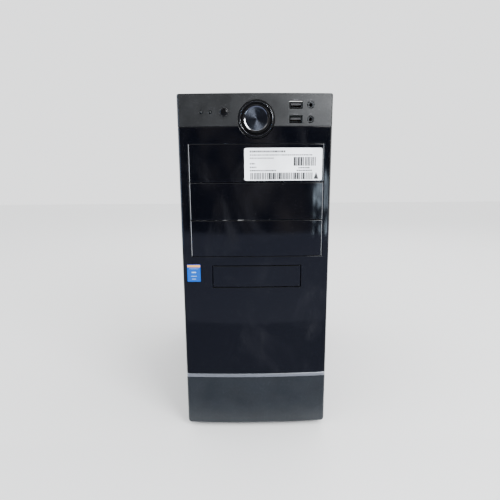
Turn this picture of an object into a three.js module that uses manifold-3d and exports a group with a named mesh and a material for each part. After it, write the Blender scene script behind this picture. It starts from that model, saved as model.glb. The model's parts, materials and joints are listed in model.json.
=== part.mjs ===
// A desktop computer tower: a pressed-steel chassis with a clip-on plastic front, and the parts inside
// that make it work. Millimetres, +Z up. The front faces -Y and +X is to the right seen from the front.
// The origin is on the floor, under the middle of the tower.
import * as THREE from "three";
import { mergeVertices } from "three/addons/utils/BufferGeometryUtils.js";
import Module from "manifold-3d";

const wasm = await Module();
wasm.setup();

// Overall sizes
const towerWidth = 173;
const towerDepth = 420;
const towerHeight = 400;

// Clearances and stock thicknesses
const gap = 0.3; // between pieces that meet
const sheet = 0.8; // chassis steel
const plastic = 2.4; // wall of the front mouldings
const board = 1.6; // circuit boards

// Front mouldings. Heights are measured down from the tower's top edge.
const crown = 3.5; // how far the middle of the front stands proud of its side edges
const cornerRadius = 3;
const topCornerRadius = 2.5;
const bottomCornerRadius = 4.5;
const fasciaDepth = 12; // of the decorative shells
const bezelDepth = 31; // of the whole plastic front
const bezelFloorGap = 6; // the plastic front's lower edge above the floor
const controlHeight = 34.7;
const lowerHeight = 61.3;
const trimHeight = 4.7;
const crossbarSize = 3;
const bayCentreX = 1.2;
const bayDrop = 53;
const bayCount = 3;
const bayPitch = 42.6;
const bayWidth = 154;
const smallBaySpace = 10.6; // between the large bays and the small one
const smallBayWidth = 105;
const smallBayHeight = 26.5;
const coverGap = 0.7; // the shadow line round each bay cover
const coverWall = 1.8;

// Controls and sockets on the front
const buttonX = 1.2;
const buttonDrop = 27.3;
const buttonProud = 3;
const buttonRadius = 15.4;
const buttonTravel = 2.5;
const buttonRim = 1.7; // height of the raised edge round the dished face
const ringWidth = 4.4;
const ringProud = 1.5;
const ringDepth = 10;
const stemRadius = 3.5;
const springRadius = 6.4;
const springWire = 0.9;
const springTurns = 4;
const controlDrop = 19.7; // of the row with the lights and the reset button
const lightX = [-59.8, -49.7];
const lightRadius = 1.7;
const resetX = -34.3;
const resetRadius = 4.9;
const resetProud = 0.6;
const socketDrops = [12.4, 27.6];
const usbX = 44.9;
const usbWidth = 13.2;
const usbHeight = 5.8;
const usbWall = 0.5;
const usbTongue = 1.9;
const usbRecess = 1.5;
const jackX = 61.3;
const jackRadius = 3.6;
const jackBore = 1.8;
const frontBoardSetback = 23; // the control board's face behind the front's crown
const switchHeight = 4;
const labelWidth = 88;
const labelHeight = 35.5;
const labelLeft = -12.4;
const labelDrop = 58;
const labelThickness = 0.2;
const labelCorner = 2;
const badgeWidth = 15.8;
const badgeHeight = 20.7;
const badgeLeft = -81.1;
const badgeDrop = 189.8;
const badgeThickness = 0.9;
const badgeCorner = 1;

// Chassis and side panels
const footHeight = 10;
const footRadius = 11;
const footInset = [24, 32]; // of a foot's centre from the chassis edge, in X and Y
const roofStep = 6; // the top cover lies this far below the plastic front's top edge
const returnWidth = 10; // folded edge of a side panel
const railHeight = 12;
const flangeDepth = 10;
const screwHead = 7;
const screwHeadRadius = 4.5;
const screwRadius = 1.6;
const screwLength = 8;
const screwInset = 36; // of a thumbscrew from the chassis top or bottom
const ventSlots = 6;
const plugSpace = 1.5; // a harness ends this far from what it plugs into

// Drive bays
const opticalWidth = 147.1;
const cageDepth = 152;
const cageTab = 3;
const diskBayWidth = 102.8;
const diskWidth = 101.6;
const diskDepth = 147;
const diskHeight = 26.1;
const diskBayPitch = 27;
const diskBayCount = 3; // hidden bays under the one that opens at the front

// Power supply
const psuWidth = 150;
const psuHeight = 86;
const psuDepth = 140;
const psuFrame = 6; // steel left round the power supply's opening
const inletSize = [48, 27]; // of the inlet and switch moulding
const inletDepth = 22;
const inletRise = 34; // clear of the fan's blades
const plugSize = [24.2, 16.2];
const plugDepth = 16;
const rockerSize = [12, 19];
const rockerTilt = 8; // degrees each side of level

// Motherboard, in the frame of the rear panel and the tray
const boardHeight = 244;
const boardDepth = 210;
const standoff = 6.2;
const trayGap = 6.2; // cable space between the tray and the right panel
const ioHeight = 158.8;
const ioWidth = 44.5;
const slotCount = 4;
const slotPitch = 20.32;
const slotLength = 107;
const slotCoverSize = [118, 18.4];
const socketHeight = 7.5;
const cpuInset = [90, 62]; // of the processor from the board's rear and top edges
const memoryY = [36, 26]; // of the memory slots in front of the processor's far side
const memoryLength = 133.4;
const memoryHeight = 30;
const sinkRadius = 42;
const sinkHeight = 30;
const sinkFins = 24;
const coolerFanDepth = 20;
const pinSpacing = 75;

// Fans
const rearFanSize = 92;
const rearFanDepth = 25;
const psuFanSize = 120;
const fanTipGap = 1.5;

// Levels and planes that follow from the sizes above
const side = towerWidth / 2;
const fasciaFront = -towerDepth / 2 + buttonProud;
const lipBack = fasciaFront + fasciaDepth;
const carrierBack = fasciaFront + bezelDepth;
const chassisFront = carrierBack + gap;
const frontInner = chassisFront + sheet;
const returnRear = towerDepth / 2 - screwHead - gap;
const chassisRear = returnRear - sheet - gap;
const rearInner = chassisRear - sheet;
const floorTop = footHeight + sheet;
const roof = towerHeight - roofStep;
const roofUnder = roof - sheet;
const panelX = side - sheet; // inner face of a side panel's skin
const panelZ = [floorTop + gap, roofUnder - gap];
const railX = side - returnWidth - gap - sheet;
const endZ = [panelZ[0] + sheet + gap, panelZ[1] - sheet - gap];
const endX = panelX - gap;
const controlZ = towerHeight - controlHeight;
const trimTop = bezelFloorGap + lowerHeight + trimHeight;
const buttonZ = towerHeight - buttonDrop;
const bayTop = towerHeight - bayDrop;
const bayBottom = bayTop - bayCount * bayPitch;
const smallBayTop = bayBottom - smallBaySpace;
const frontBoardY = fasciaFront + frontBoardSetback;
const headerX = usbX - 3;
const headerZ = towerHeight - socketDrops[0] - 8;
const trayX = panelX - trayGap - sheet;
const boardFace = trayX - standoff - gap - board;
const psuTop = endZ[1];
const psuBottom = psuTop - psuHeight;
const psuRear = rearInner - gap;
const boardTop = psuBottom - 7;
const boardBottom = boardTop - boardHeight;
const boardRear = rearInner - 2;
const boardFront = boardRear - boardDepth;
const ioTop = boardTop - 1;
const ioBottom = ioTop - ioHeight;
const ioX = [boardFace + 3.2 - ioWidth, boardFace + 3.2];
const slotTopZ = ioBottom - 14;
const cpuY = boardRear - cpuInset[0];
const cpuZ = boardTop - cpuInset[1];
const rearFanX = -railX + rearFanSize / 2;
const rearFanZ = ioTop - 4 - rearFanSize / 2;

const finish = {
  gloss: new THREE.MeshStandardMaterial({ color: 0x0c0d12, roughness: 0.08, metalness: 0 }),
  graphite: new THREE.MeshStandardMaterial({ color: 0x46484d, roughness: 0.45, metalness: 0.35 }),
  satinBlack: new THREE.MeshStandardMaterial({ color: 0x15161a, roughness: 0.5, metalness: 0 }),
  silver: new THREE.MeshStandardMaterial({ color: 0xb4b9c0, roughness: 0.3, metalness: 0.8 }),
  spunMetal: new THREE.MeshStandardMaterial({ color: 0x2b2f37, roughness: 0.25, metalness: 0.9 }),
  paintedSteel: new THREE.MeshStandardMaterial({ color: 0x17181b, roughness: 0.55, metalness: 0.2 }),
  zincSteel: new THREE.MeshStandardMaterial({ color: 0xa9acae, roughness: 0.4, metalness: 0.9 }),
  aluminium: new THREE.MeshStandardMaterial({ color: 0xb8babd, roughness: 0.35, metalness: 0.9 }),
  circuit: new THREE.MeshStandardMaterial({ color: 0x10402c, roughness: 0.5, metalness: 0 }),
  lens: new THREE.MeshStandardMaterial({ color: 0x9aa7b0, roughness: 0.1, metalness: 0 }),
  label: new THREE.MeshStandardMaterial({ color: 0xe9edf3, roughness: 0.6, metalness: 0 }),
  badge: new THREE.MeshStandardMaterial({ color: 0x1b74c4, roughness: 0.3, metalness: 0 }),
  rubber: new THREE.MeshStandardMaterial({ color: 0x17171a, roughness: 0.8, metalness: 0 }),
  cable: new THREE.MeshStandardMaterial({ color: 0x1b1b1e, roughness: 0.6, metalness: 0 }),
  redCable: new THREE.MeshStandardMaterial({ color: 0xa01c1c, roughness: 0.5, metalness: 0 }),
};

// ---- Solid-making helpers ----

// A closed three.js geometry as a solid that can be joined and cut.
function solid(geometry) {
  const bare = new THREE.BufferGeometry();
  bare.setAttribute("position", geometry.getAttribute("position"));
  if (geometry.index) bare.setIndex(geometry.index);
  const merged = mergeVertices(bare, 1e-4);
  const faces = [];
  const index = merged.index.array;
  for (let i = 0; i < index.length; i += 3) {
    const [a, b, c] = index.slice(i, i + 3);
    if (a !== b && b !== c && c !== a) faces.push(a, b, c);
  }
  return new wasm.Manifold(
    new wasm.Mesh({
      numProp: 3,
      vertProperties: new Float32Array(merged.attributes.position.array),
      triVerts: new Uint32Array(faces),
    }),
  );
}

const join = (...pieces) => pieces.flat(9).reduce((a, b) => a.add(b));
const cut = (piece, ...cutters) => cutters.flat(9).reduce((a, b) => a.subtract(b), piece);

function block([x0, x1], [y0, y1], [z0, z1]) {
  const box = new THREE.BoxGeometry(x1 - x0, y1 - y0, z1 - z0);
  return solid(box.translate((x0 + x1) / 2, (y0 + y1) / 2, (z0 + z1) / 2));
}

// A round bar along Z from low to high, centred on (x, y).
function rod(radius, [low, high], x = 0, y = 0, sides = 16) {
  const bar = new THREE.CylinderGeometry(radius, radius, high - low, sides);
  return solid(bar.rotateX(Math.PI / 2).translate(x, y, (low + high) / 2));
}

// A round bar along Y from low to high, centred on (x, z).
function rodY(radius, [low, high], x, z, sides = 16) {
  const bar = new THREE.CylinderGeometry(radius, radius, high - low, sides);
  return solid(bar.translate(x, (low + high) / 2, z));
}

// A round bar along X from low to high, centred on (y, z).
function rodX(radius, [low, high], y, z, sides = 12) {
  const bar = new THREE.CylinderGeometry(radius, radius, high - low, sides);
  return solid(bar.rotateZ(Math.PI / 2).translate((low + high) / 2, y, z));
}

// An outline in X and Y raised along Z.
function prism(outline, [low, high]) {
  const shape = outline instanceof THREE.Shape ? outline : new THREE.Shape(outline);
  const options = { depth: high - low, bevelEnabled: false, curveSegments: 5 };
  return solid(new THREE.ExtrudeGeometry(shape, options).translate(0, 0, low));
}

// An outline in X and Z raised along Y.
function wallPrism(outline, [low, high]) {
  const shape = outline instanceof THREE.Shape ? outline : new THREE.Shape(outline);
  const options = { depth: high - low, bevelEnabled: false, curveSegments: 5 };
  return solid(new THREE.ExtrudeGeometry(shape, options).rotateX(Math.PI / 2).translate(0, high, 0));
}

// A profile of [radius, distance along the axis] pairs turned about Z.
function turned(profile, segments = 32) {
  const points = profile.map(([radius, along]) => new THREE.Vector2(radius, along));
  return solid(new THREE.LatheGeometry(points, segments).rotateX(Math.PI / 2));
}

// A tube of the given radius along a smooth curve through the points.
function tube(points, radius, { sides = 8, steps = 40 } = {}) {
  const section = new THREE.Shape();
  for (let i = 0; i < sides; i += 1) {
    const angle = (2 * Math.PI * i) / sides;
    const corner = [radius * Math.cos(angle), radius * Math.sin(angle)];
    if (i === 0) section.moveTo(...corner);
    else section.lineTo(...corner);
  }
  const path = new THREE.CatmullRomCurve3(points.map((p) => new THREE.Vector3(...p)));
  return solid(new THREE.ExtrudeGeometry(section, { extrudePath: path, steps }));
}

const root = new THREE.Group();

function add(group, name, piece, material) {
  const made = piece.getMesh();
  const geometry = new THREE.BufferGeometry();
  geometry.setAttribute("position", new THREE.BufferAttribute(made.vertProperties, 3));
  geometry.setIndex(new THREE.BufferAttribute(made.triVerts, 1));
  const mesh = new THREE.Mesh(geometry.toNonIndexed(), material);
  mesh.geometry.computeVertexNormals();
  mesh.name = name;
  group.add(mesh);
  return mesh;
}

function subassembly(parent = root) {
  const group = new THREE.Group();
  parent.add(group);
  return group;
}

// ---- Front mouldings ----

const crownRadius = (side ** 2 + crown ** 2) / (2 * crown);

// Y of the front's crowned surface at x, moved back by inset.
function crownY(x, inset = 0) {
  return fasciaFront + crownRadius - Math.sqrt((crownRadius - inset) ** 2 - x ** 2);
}

// A block whose front follows the crown. With a corner radius its two upright front edges are rounded.
function crowned([left, right], inset, back, heights, corner = 0) {
  const outline = [new THREE.Vector2(right, back), new THREE.Vector2(left, back)];
  const cornerSteps = corner ? 4 : 0;
  const rounded = (x, turn, step) => {
    const angle = (step / 4) * (Math.PI / 2);
    const edge = crownY(x + turn * corner, inset) + corner;
    return new THREE.Vector2(x + turn * corner * (1 - Math.cos(angle)), edge - corner * Math.sin(angle));
  };
  for (let i = 0; i < cornerSteps; i += 1) outline.push(rounded(left, 1, i));
  const arcSteps = Math.max(2, Math.round(((right - left) / towerWidth) * 14));
  for (let i = 0; i <= arcSteps; i += 1) {
    const x = left + corner + ((right - left - 2 * corner) * i) / arcSteps;
    outline.push(new THREE.Vector2(x, crownY(x, inset)));
  }
  for (let i = cornerSteps - 1; i >= 0; i -= 1) outline.push(rounded(right, -1, i));
  return prism(outline, heights);
}

// A rectangle in X and Z, as deep as the plastic front, with its top and bottom corners rounded by t and b.
function roundedOutline([left, right], [low, high], t, b = t) {
  const shape = new THREE.Shape();
  shape.absarc(right - b, low + b, b, -Math.PI / 2, 0);
  shape.absarc(right - t, high - t, t, 0, Math.PI / 2);
  shape.absarc(left + t, high - t, t, Math.PI / 2, Math.PI);
  shape.absarc(left + b, low + b, b, Math.PI, 1.5 * Math.PI);
  return wallPrism(shape, [fasciaFront - 1, carrierBack]);
}

// The front seen square on.
function frontOutline() {
  return roundedOutline([-side, side], [bezelFloorGap, towerHeight], topCornerRadius, bottomCornerRadius);
}

// A decorative shell across the whole front between two heights, open at the back.
function fasciaShell([low, high], { closedTop = false, closedBottom = false } = {}) {
  const outer = crowned([-side, side], 0, lipBack, [low, high], cornerRadius);
  const hollow = [closedBottom ? low + plastic : low - 1, closedTop ? high - plastic : high + 1];
  const innerCorner = Math.max(0.5, cornerRadius - plastic);
  const inside = [-side + plastic, side - plastic];
  return cut(outer, crowned(inside, plastic, lipBack + 1, hollow, innerCorner));
}

const throughFront = [fasciaFront - 1, lipBack + 1];

function bezelCarrier() {
  const heights = [bezelFloorGap, towerHeight];
  const depth = [lipBack + gap, carrierBack];
  const outer = block([-side, side], depth, heights);
  const inside = [-side + plastic, side - plastic];
  const hollow = block(inside, [depth[0] - 1, depth[1] + 1], [heights[0] + plastic, heights[1] - plastic]);
  // The upper crossbar is also the shelf that the control board stands on.
  const bars = [
    [controlZ, frontBoardY + board + 1],
    [trimTop - trimHeight, depth[0] + crossbarSize],
  ].map(([z, back]) => block([-side + 1, side - 1], [depth[0], back], [z - crossbarSize, z]));
  return join(cut(outer, hollow), bars).intersect(frontOutline());
}

const ringHole = rodY(buttonRadius + 0.5 + ringWidth + gap, throughFront, buttonX, buttonZ, 40);

function controlPanel() {
  const shell = fasciaShell([controlZ + gap / 2, towerHeight], { closedTop: true });
  const holes = [ringHole];
  for (const drop of socketDrops) {
    const z = towerHeight - drop;
    const [halfWidth, halfHeight] = [usbWidth / 2 + 0.7, usbHeight / 2 + 1.2];
    holes.push(block([usbX - halfWidth, usbX + halfWidth], throughFront, [z - halfHeight, z + halfHeight]));
    holes.push(rodY(jackRadius + gap, throughFront, jackX, z));
  }
  const rowZ = towerHeight - controlDrop;
  for (const x of lightX) holes.push(rodY(lightRadius + gap, throughFront, x, rowZ, 12));
  holes.push(rodY(resetRadius + gap, throughFront, resetX, rowZ));
  return cut(shell, holes).intersect(frontOutline());
}

const bayX = [bayCentreX - bayWidth / 2, bayCentreX + bayWidth / 2];
const smallBayX = [bayCentreX - smallBayWidth / 2, bayCentreX + smallBayWidth / 2];
const smallBayZ = [smallBayTop - smallBayHeight, smallBayTop];

function glossFascia() {
  const shell = fasciaShell([trimTop + gap / 2, controlZ - gap / 2]);
  const bays = block(bayX, throughFront, [bayBottom, bayTop]);
  return cut(shell, ringHole, bays, block(smallBayX, throughFront, smallBayZ));
}

function lowerFascia() {
  const heights = [bezelFloorGap, trimTop - trimHeight - gap / 2];
  return fasciaShell(heights, { closedBottom: true }).intersect(frontOutline());
}

function trimStrip() {
  const heights = [trimTop - trimHeight + gap / 2, trimTop - gap / 2];
  return fasciaShell(heights);
}

// A blanking cover: a crowned plate with walls behind it, open at the back.
function bayCover([left, right], [low, high]) {
  const plate = crowned([left + coverGap, right - coverGap], 0, lipBack, [low, high]);
  const inside = [left + coverGap + coverWall, right - coverGap - coverWall];
  return cut(plate, crowned(inside, plastic, lipBack + 1, [low + coverWall, high - coverWall]));
}

function buildFrontMouldings() {
  const group = subassembly();
  add(group, "bezel_carrier", bezelCarrier(), finish.satinBlack);
  add(group, "control_panel", controlPanel(), finish.graphite);
  add(group, "gloss_fascia", glossFascia(), finish.gloss);
  add(group, "trim_strip", trimStrip(), finish.silver);
  add(group, "lower_fascia", lowerFascia(), finish.graphite);
  for (let i = 0; i < bayCount; i += 1) {
    const top = bayTop - i * bayPitch - coverGap / 2;
    const heights = [top - bayPitch + coverGap, top];
    add(group, `bay_cover_${i + 1}`, bayCover(bayX, heights), finish.gloss);
  }
  const smallHeights = [smallBayZ[0] + coverGap, smallBayZ[1] - coverGap];
  add(group, "small_bay_cover", bayCover(smallBayX, smallHeights), finish.gloss);
}

// ---- Stickers ----

// A thin sheet with rounded corners, lying on the crowned front.
function sticker(left, width, drop, height, thickness, corner) {
  const across = [left, left + width];
  const heights = [towerHeight - drop - height, towerHeight - drop];
  const outer = crowned(across, -gap - thickness, fasciaFront + crown, heights);
  const behind = crowned([across[0] - 1, across[1] + 1], -gap, lipBack, [heights[0] - 1, heights[1] + 1]);
  return cut(outer, behind).intersect(roundedOutline(across, heights, corner));
}

function buildStickers() {
  const group = subassembly();
  const paper = sticker(labelLeft, labelWidth, labelDrop, labelHeight, labelThickness, labelCorner);
  add(group, "stock_label", paper, finish.label);
  const badge = sticker(badgeLeft, badgeWidth, badgeDrop, badgeHeight, badgeThickness, badgeCorner);
  add(group, "case_badge", badge, finish.badge);
}

// ---- Buttons, lights and sockets behind the control panel ----

// Turned pieces of the power button are drawn about Z and turned to face -Y.
function facingFront(x, z) {
  const group = subassembly();
  group.position.set(x, fasciaFront, z);
  group.rotation.x = Math.PI / 2;
  return group;
}

function buildPowerButton() {
  const group = facingFront(buttonX, buttonZ);
  const bore = buttonRadius + 0.5;
  const flange = buttonRadius + 2.4;
  const flangeFront = -2.9;
  const stemEnd = switchHeight + buttonTravel + 0.5 - frontBoardSetback;
  const ring = turned([
    [bore, ringProud - 0.6],
    [bore, flangeFront + gap],
    [flange + 0.5, flangeFront + gap],
    [flange + 0.5, ringProud - ringDepth],
    [bore + ringWidth, ringProud - ringDepth],
    [bore + ringWidth, 0.2],
    [bore + ringWidth - 1, ringProud - 0.2],
    [bore + ringWidth - 2.2, ringProud],
    [bore + ringWidth - 2.8, ringProud - 0.7],
    [bore, ringProud - 0.6],
  ], 40);
  add(group, "power_button_ring", ring, finish.satinBlack);
  const button = turned([
    [0, buttonProud - buttonRim],
    [buttonRadius - 1.9, buttonProud - 0.9],
    [buttonRadius - 1.4, buttonProud],
    [buttonRadius - 0.8, buttonProud],
    [buttonRadius, buttonProud - 0.8],
    [buttonRadius, flangeFront],
    [flange, flangeFront],
    [flange, flangeFront - 1.5],
    [stemRadius, flangeFront - 1.5],
    [stemRadius, stemEnd],
    [0, stemEnd],
  ].reverse(), 40);
  add(group, "power_button", button, finish.spunMetal);
  add(group, "power_button_spring", spring(flangeFront - 1.5 - gap), finish.zincSteel);
}

// The coil between the button's flange and the control board, closed by one flat turn at each end.
function spring(top) {
  const low = -frontBoardSetback + gap + springWire / 2;
  const high = top - springWire / 2;
  const points = [];
  const perTurn = 10;
  for (let i = 0; i <= springTurns * perTurn; i += 1) {
    const angle = (2 * Math.PI * i) / perTurn;
    const height = low + ((high - low) * i) / (springTurns * perTurn);
    points.push([springRadius * Math.cos(angle), springRadius * Math.sin(angle), height]);
  }
  return tube(points, springWire / 2, { sides: 5, steps: 48 });
}

function buildControls() {
  const group = subassembly();
  const rowZ = towerHeight - controlDrop;
  const resetFront = crownY(resetX) - resetProud;
  const resetFlange = [crownY(resetX, plastic) + 2, crownY(resetX, plastic) + 3];
  const resetEnd = frontBoardY - switchHeight - 2;
  const reset = join(
    rodY(resetRadius, [resetFront, resetFlange[1]], resetX, rowZ, 20),
    rodY(resetRadius + 1.2, resetFlange, resetX, rowZ, 20),
    rodY(stemRadius / 2, [resetFlange[1] - 1, resetEnd], resetX, rowZ, 12),
  );
  add(group, "reset_button", reset, finish.satinBlack);

  const pipeEnd = frontBoardY - switchHeight + gap;
  const prongs = lightX.map((x) => rodY(lightRadius, [crownY(x) + 0.4, pipeEnd], x, rowZ, 12));
  const bridge = block(
    [lightX[0] - 2.4, lightX[1] + 2.4],
    [pipeEnd - 3, pipeEnd],
    [rowZ - lightRadius, rowZ + lightRadius],
  );
  add(group, "led_light_pipe", join(prongs, bridge), finish.lens);

  const switches = [
    [resetX, rowZ],
    [buttonX, buttonZ],
  ].map(([x, z]) => block([x - 3, x + 3], [frontBoardY - switchHeight, frontBoardY + 1], [z - 3, z + 3]));
  const sockets = socketDrops.map((drop) => towerHeight - drop);
  const boardZ = [controlZ + gap, Math.max(...sockets) + 7];
  const plate = block([lightX[0] - 5, jackX + 7], [frontBoardY, frontBoardY + board], boardZ);
  const header = block([headerX - 9, headerX + 9], [frontBoardY + 1, frontBoardY + 8], [headerZ - 3, headerZ + 3]);
  add(group, "front_io_board", join(plate, switches, header), finish.circuit);

  const back = frontBoardY - gap;
  socketDrops.forEach((drop, i) => {
    const z = towerHeight - drop;
    const where = i === 0 ? "upper" : "lower";
    add(group, `usb_socket_${where}`, usbSocket(z, back), finish.zincSteel);
    const barrel = rodY(jackRadius, [crownY(jackX) + 0.3, back], jackX, z);
    const bore = rodY(jackBore, [crownY(jackX) - 1, back - 4], jackX, z, 12);
    add(group, `audio_jack_${where}`, cut(barrel, bore), finish.satinBlack);
  });
}

function usbSocket(z, back) {
  const front = crownY(usbX) + usbRecess;
  const [w, h] = [usbWidth / 2, usbHeight / 2];
  const shell = block([usbX - w, usbX + w], [front, back], [z - h, z + h]);
  const cavityEnd = front + 9.5;
  const cavity = block(
    [usbX - w + usbWall, usbX + w - usbWall],
    [front - 1, cavityEnd],
    [z - h + usbWall, z + h - usbWall],
  );
  const tongueTop = z + h - usbWall - 0.6;
  const tongue = block(
    [usbX - w + 1, usbX + w - 1],
    [front + 0.8, cavityEnd + 1],
    [tongueTop - usbTongue, tongueTop],
  );
  return join(cut(shell, cavity), tongue);
}

// ---- Chassis ----

// The front or rear sheet of the chassis, with flanges folded inwards along its top and bottom edges.
function endSheet([yLow, yHigh], foldTo) {
  const inside = [Math.min(yLow, foldTo), Math.max(yHigh, foldTo)];
  return join(
    block([-endX, endX], [yLow, yHigh], endZ),
    block([-railX + gap, railX - gap], [yLow, yHigh], panelZ),
    block([-railX + gap, railX - gap], inside, [panelZ[0], panelZ[0] + sheet]),
    block([-railX + gap, railX - gap], inside, [panelZ[1] - sheet, panelZ[1]]),
  );
}

const cageX = [bayCentreX - opticalWidth / 2, bayCentreX + opticalWidth / 2];
const cageY = [frontInner + gap, frontInner + gap + cageDepth];
const diskX = [bayCentreX - diskBayWidth / 2, bayCentreX + diskBayWidth / 2];
const shelfZ = bayBottom - 2 - gap - sheet;
const diskCageBottom = smallBayZ[0] - 3 - diskBayCount * diskBayPitch - 14;

function chassisFrontPanel() {
  const sheetMetal = endSheet([chassisFront, frontInner], frontInner + flangeDepth);
  const through = [chassisFront - 1, frontInner + 1];
  const cableHole = block([headerX - 7, headerX + 7], through, [headerZ - 7, headerZ + 5]);
  const openings = [block(cageX, through, [bayBottom, bayTop]), block(diskX, through, smallBayZ), cableHole];
  const slotRise = 7;
  for (let i = 0; i < ventSlots; i += 1) {
    const z = floorTop + 16 + i * slotRise;
    openings.push(block([-side / 2, side / 2], through, [z, z + slotRise / 2]));
  }
  return cut(sheetMetal, openings);
}

// A quarter ring in X and Z, one of the openings of the stamped fan grille.
function grilleOpening(inner, outer, quarter, bar) {
  const edge = (radius) => Math.asin(bar / 2 / radius);
  const start = (quarter * Math.PI) / 2 + Math.PI / 4;
  const shape = new THREE.Shape();
  shape.absarc(0, 0, outer, start + edge(outer), start + Math.PI / 2 - edge(outer), false);
  shape.absarc(0, 0, inner, start + Math.PI / 2 - edge(inner), start + edge(inner), true);
  return shape;
}

const grilleRings = [15, 25.5, 36]; // inner radii of the openings
const grilleOpeningWidth = 7.5;
const grilleBar = 4;

function chassisRearPanel() {
  const sheetMetal = endSheet([rearInner, chassisRear], rearInner - flangeDepth);
  const through = [rearInner - 1, chassisRear + 1];
  const halfPsu = psuWidth / 2 - psuFrame;
  const openings = [
    block([-halfPsu, halfPsu], through, [psuBottom + psuFrame, psuTop - psuFrame]),
    block(ioX, through, [ioBottom, ioTop]),
  ];
  for (let i = 0; i < slotCount; i += 1) {
    const z = slotTopZ - i * slotPitch;
    openings.push(block([boardFace - 5 - slotLength, boardFace - 5], through, [z - 6.35, z + 6.35]));
  }
  for (const inner of grilleRings) {
    for (let quarter = 0; quarter < 4; quarter += 1) {
      const shape = grilleOpening(inner, inner + grilleOpeningWidth, quarter, grilleBar);
      openings.push(wallPrism(shape, through).translate([rearFanX, 0, rearFanZ]));
    }
  }
  for (const z of screwHeights) openings.push(rodY(screwRadius + gap, through, -screwX, z, 8));
  return cut(sheetMetal, openings);
}

// The floor or the top cover: a flat sheet with two rails that guide the side panels' folded edges.
function railedSheet([low, high], railEnd) {
  const flat = block([-side, side], [chassisFront, returnRear], [low, high]);
  const railY = [frontInner + flangeDepth + 1, rearInner - flangeDepth - 1];
  const railZ = [Math.min(low, railEnd), Math.max(high, railEnd)];
  const rails = [-railX - sheet, railX].map((x) => block([x, x + sheet], railY, railZ));
  return join(flat, rails);
}

function motherboardTray() {
  const depth = [boardFront - 12, rearInner - gap];
  const plate = block([trayX, trayX + sheet], depth, [boardBottom - 12, boardTop + 4]);
  const posts = [];
  for (const y of [boardRear - 8, boardRear - boardDepth / 2 - 20, boardFront + 6]) {
    for (const z of [boardTop - 8, boardTop - boardHeight / 2, boardBottom + 8]) {
      posts.push(rodX(3, [trayX - standoff, trayX + sheet / 2], y, z, 6));
    }
  }
  return join(plate, posts);
}

// One side wall of the optical drive cage, with tabs that a drive rests on.
function opticalCageWall(outward) {
  const face = outward > 0 ? cageX[1] : cageX[0];
  const across = outward > 0 ? [face, face + sheet] : [face - sheet, face];
  const wall = block(across, cageY, [bayBottom - 2, bayTop + 2]);
  const tabs = [];
  for (let i = 1; i < bayCount; i += 1) {
    for (const share of [0.2, 0.7]) {
      const y = cageY[0] + share * cageDepth;
      const z = bayTop - i * bayPitch;
      const tabX = outward > 0 ? [face - cageTab, face + sheet / 2] : [face - sheet / 2, face + cageTab];
      tabs.push(block(tabX, [y, y + 14], [z - sheet / 2, z + sheet / 2]));
    }
  }
  return join(wall, tabs);
}

// The 3.5 inch cage: a shelf under the optical bays with two walls hanging from it.
function driveCage() {
  const shelf = block([cageX[0] - sheet, cageX[1] + sheet], cageY, [shelfZ, shelfZ + sheet]);
  const walls = [[diskX[0] - sheet, diskX[0]], [diskX[1], diskX[1] + sheet]].map((across) =>
    block(across, cageY, [diskCageBottom, shelfZ + sheet / 2]),
  );
  return join(shelf, walls);
}

const screwX = side - returnWidth / 2;
const screwHeights = [footHeight + screwInset, roof - screwInset];

// A side panel: a flat skin with its top, bottom and rear edges folded inwards.
function sidePanel(outward, holes) {
  const across = (from, to) => (outward > 0 ? [from, to] : [-to, -from]);
  const depth = [chassisFront, returnRear];
  const folded = across(side - returnWidth, side);
  const skin = join(
    block(across(panelX, side), depth, panelZ),
    block(folded, depth, [panelZ[0], panelZ[0] + sheet]),
    block(folded, depth, [panelZ[1] - sheet, panelZ[1]]),
    block(folded, [returnRear - sheet, returnRear], panelZ),
  );
  const drilled = [returnRear - sheet - 1, returnRear + 1];
  return cut(skin, holes.map((z) => rodY(screwRadius + gap, drilled, outward * screwX, z, 8)));
}

function thumbscrew() {
  return turned([
    [0, -screwLength],
    [screwRadius, -screwLength],
    [screwRadius, 0],
    [screwHeadRadius - 0.6, 0],
    [screwHeadRadius, 0.6],
    [screwHeadRadius, screwHead - 0.8],
    [screwHeadRadius - 0.8, screwHead],
    [0, screwHead],
  ], 16);
}

function buildChassis() {
  const group = subassembly();
  add(group, "chassis_floor", railedSheet([footHeight, floorTop], floorTop + railHeight), finish.zincSteel);
  add(group, "chassis_top_cover", railedSheet([roofUnder, roof], roofUnder - railHeight), finish.paintedSteel);
  add(group, "chassis_front_panel", chassisFrontPanel(), finish.zincSteel);
  add(group, "chassis_rear_panel", chassisRearPanel(), finish.zincSteel);
  add(group, "motherboard_tray", motherboardTray(), finish.zincSteel);
  add(group, "bay_cage_left_wall", opticalCageWall(-1), finish.zincSteel);
  add(group, "bay_cage_right_wall", opticalCageWall(1), finish.zincSteel);
  add(group, "drive_cage", driveCage(), finish.zincSteel);
  add(group, "left_side_panel", sidePanel(-1, screwHeights), finish.paintedSteel);
  add(group, "right_side_panel", sidePanel(1, []), finish.paintedSteel);
  screwHeights.forEach((z, i) => {
    const mesh = add(group, `thumbscrew_${i === 0 ? "lower" : "upper"}`, thumbscrew(), finish.silver);
    mesh.position.set(-screwX, returnRear + gap, z);
    mesh.rotation.x = -Math.PI / 2;
  });
  const footX = side - footInset[0];
  const feet = { front: chassisFront + footInset[1], rear: chassisRear - footInset[1] };
  for (const [where, y] of Object.entries(feet)) {
    for (const [name, x] of [["left", -footX], ["right", footX]]) {
      const foot = turned([
        [0, 0],
        [footRadius - 1.5, 0],
        [footRadius, 1.5],
        [footRadius - 1, footHeight - gap],
        [0, footHeight - gap],
      ], 20);
      add(group, `foot_${where}_${name}`, foot, finish.rubber).position.set(x, y, 0);
    }
  }
}

// ---- Slot covers ----

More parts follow.
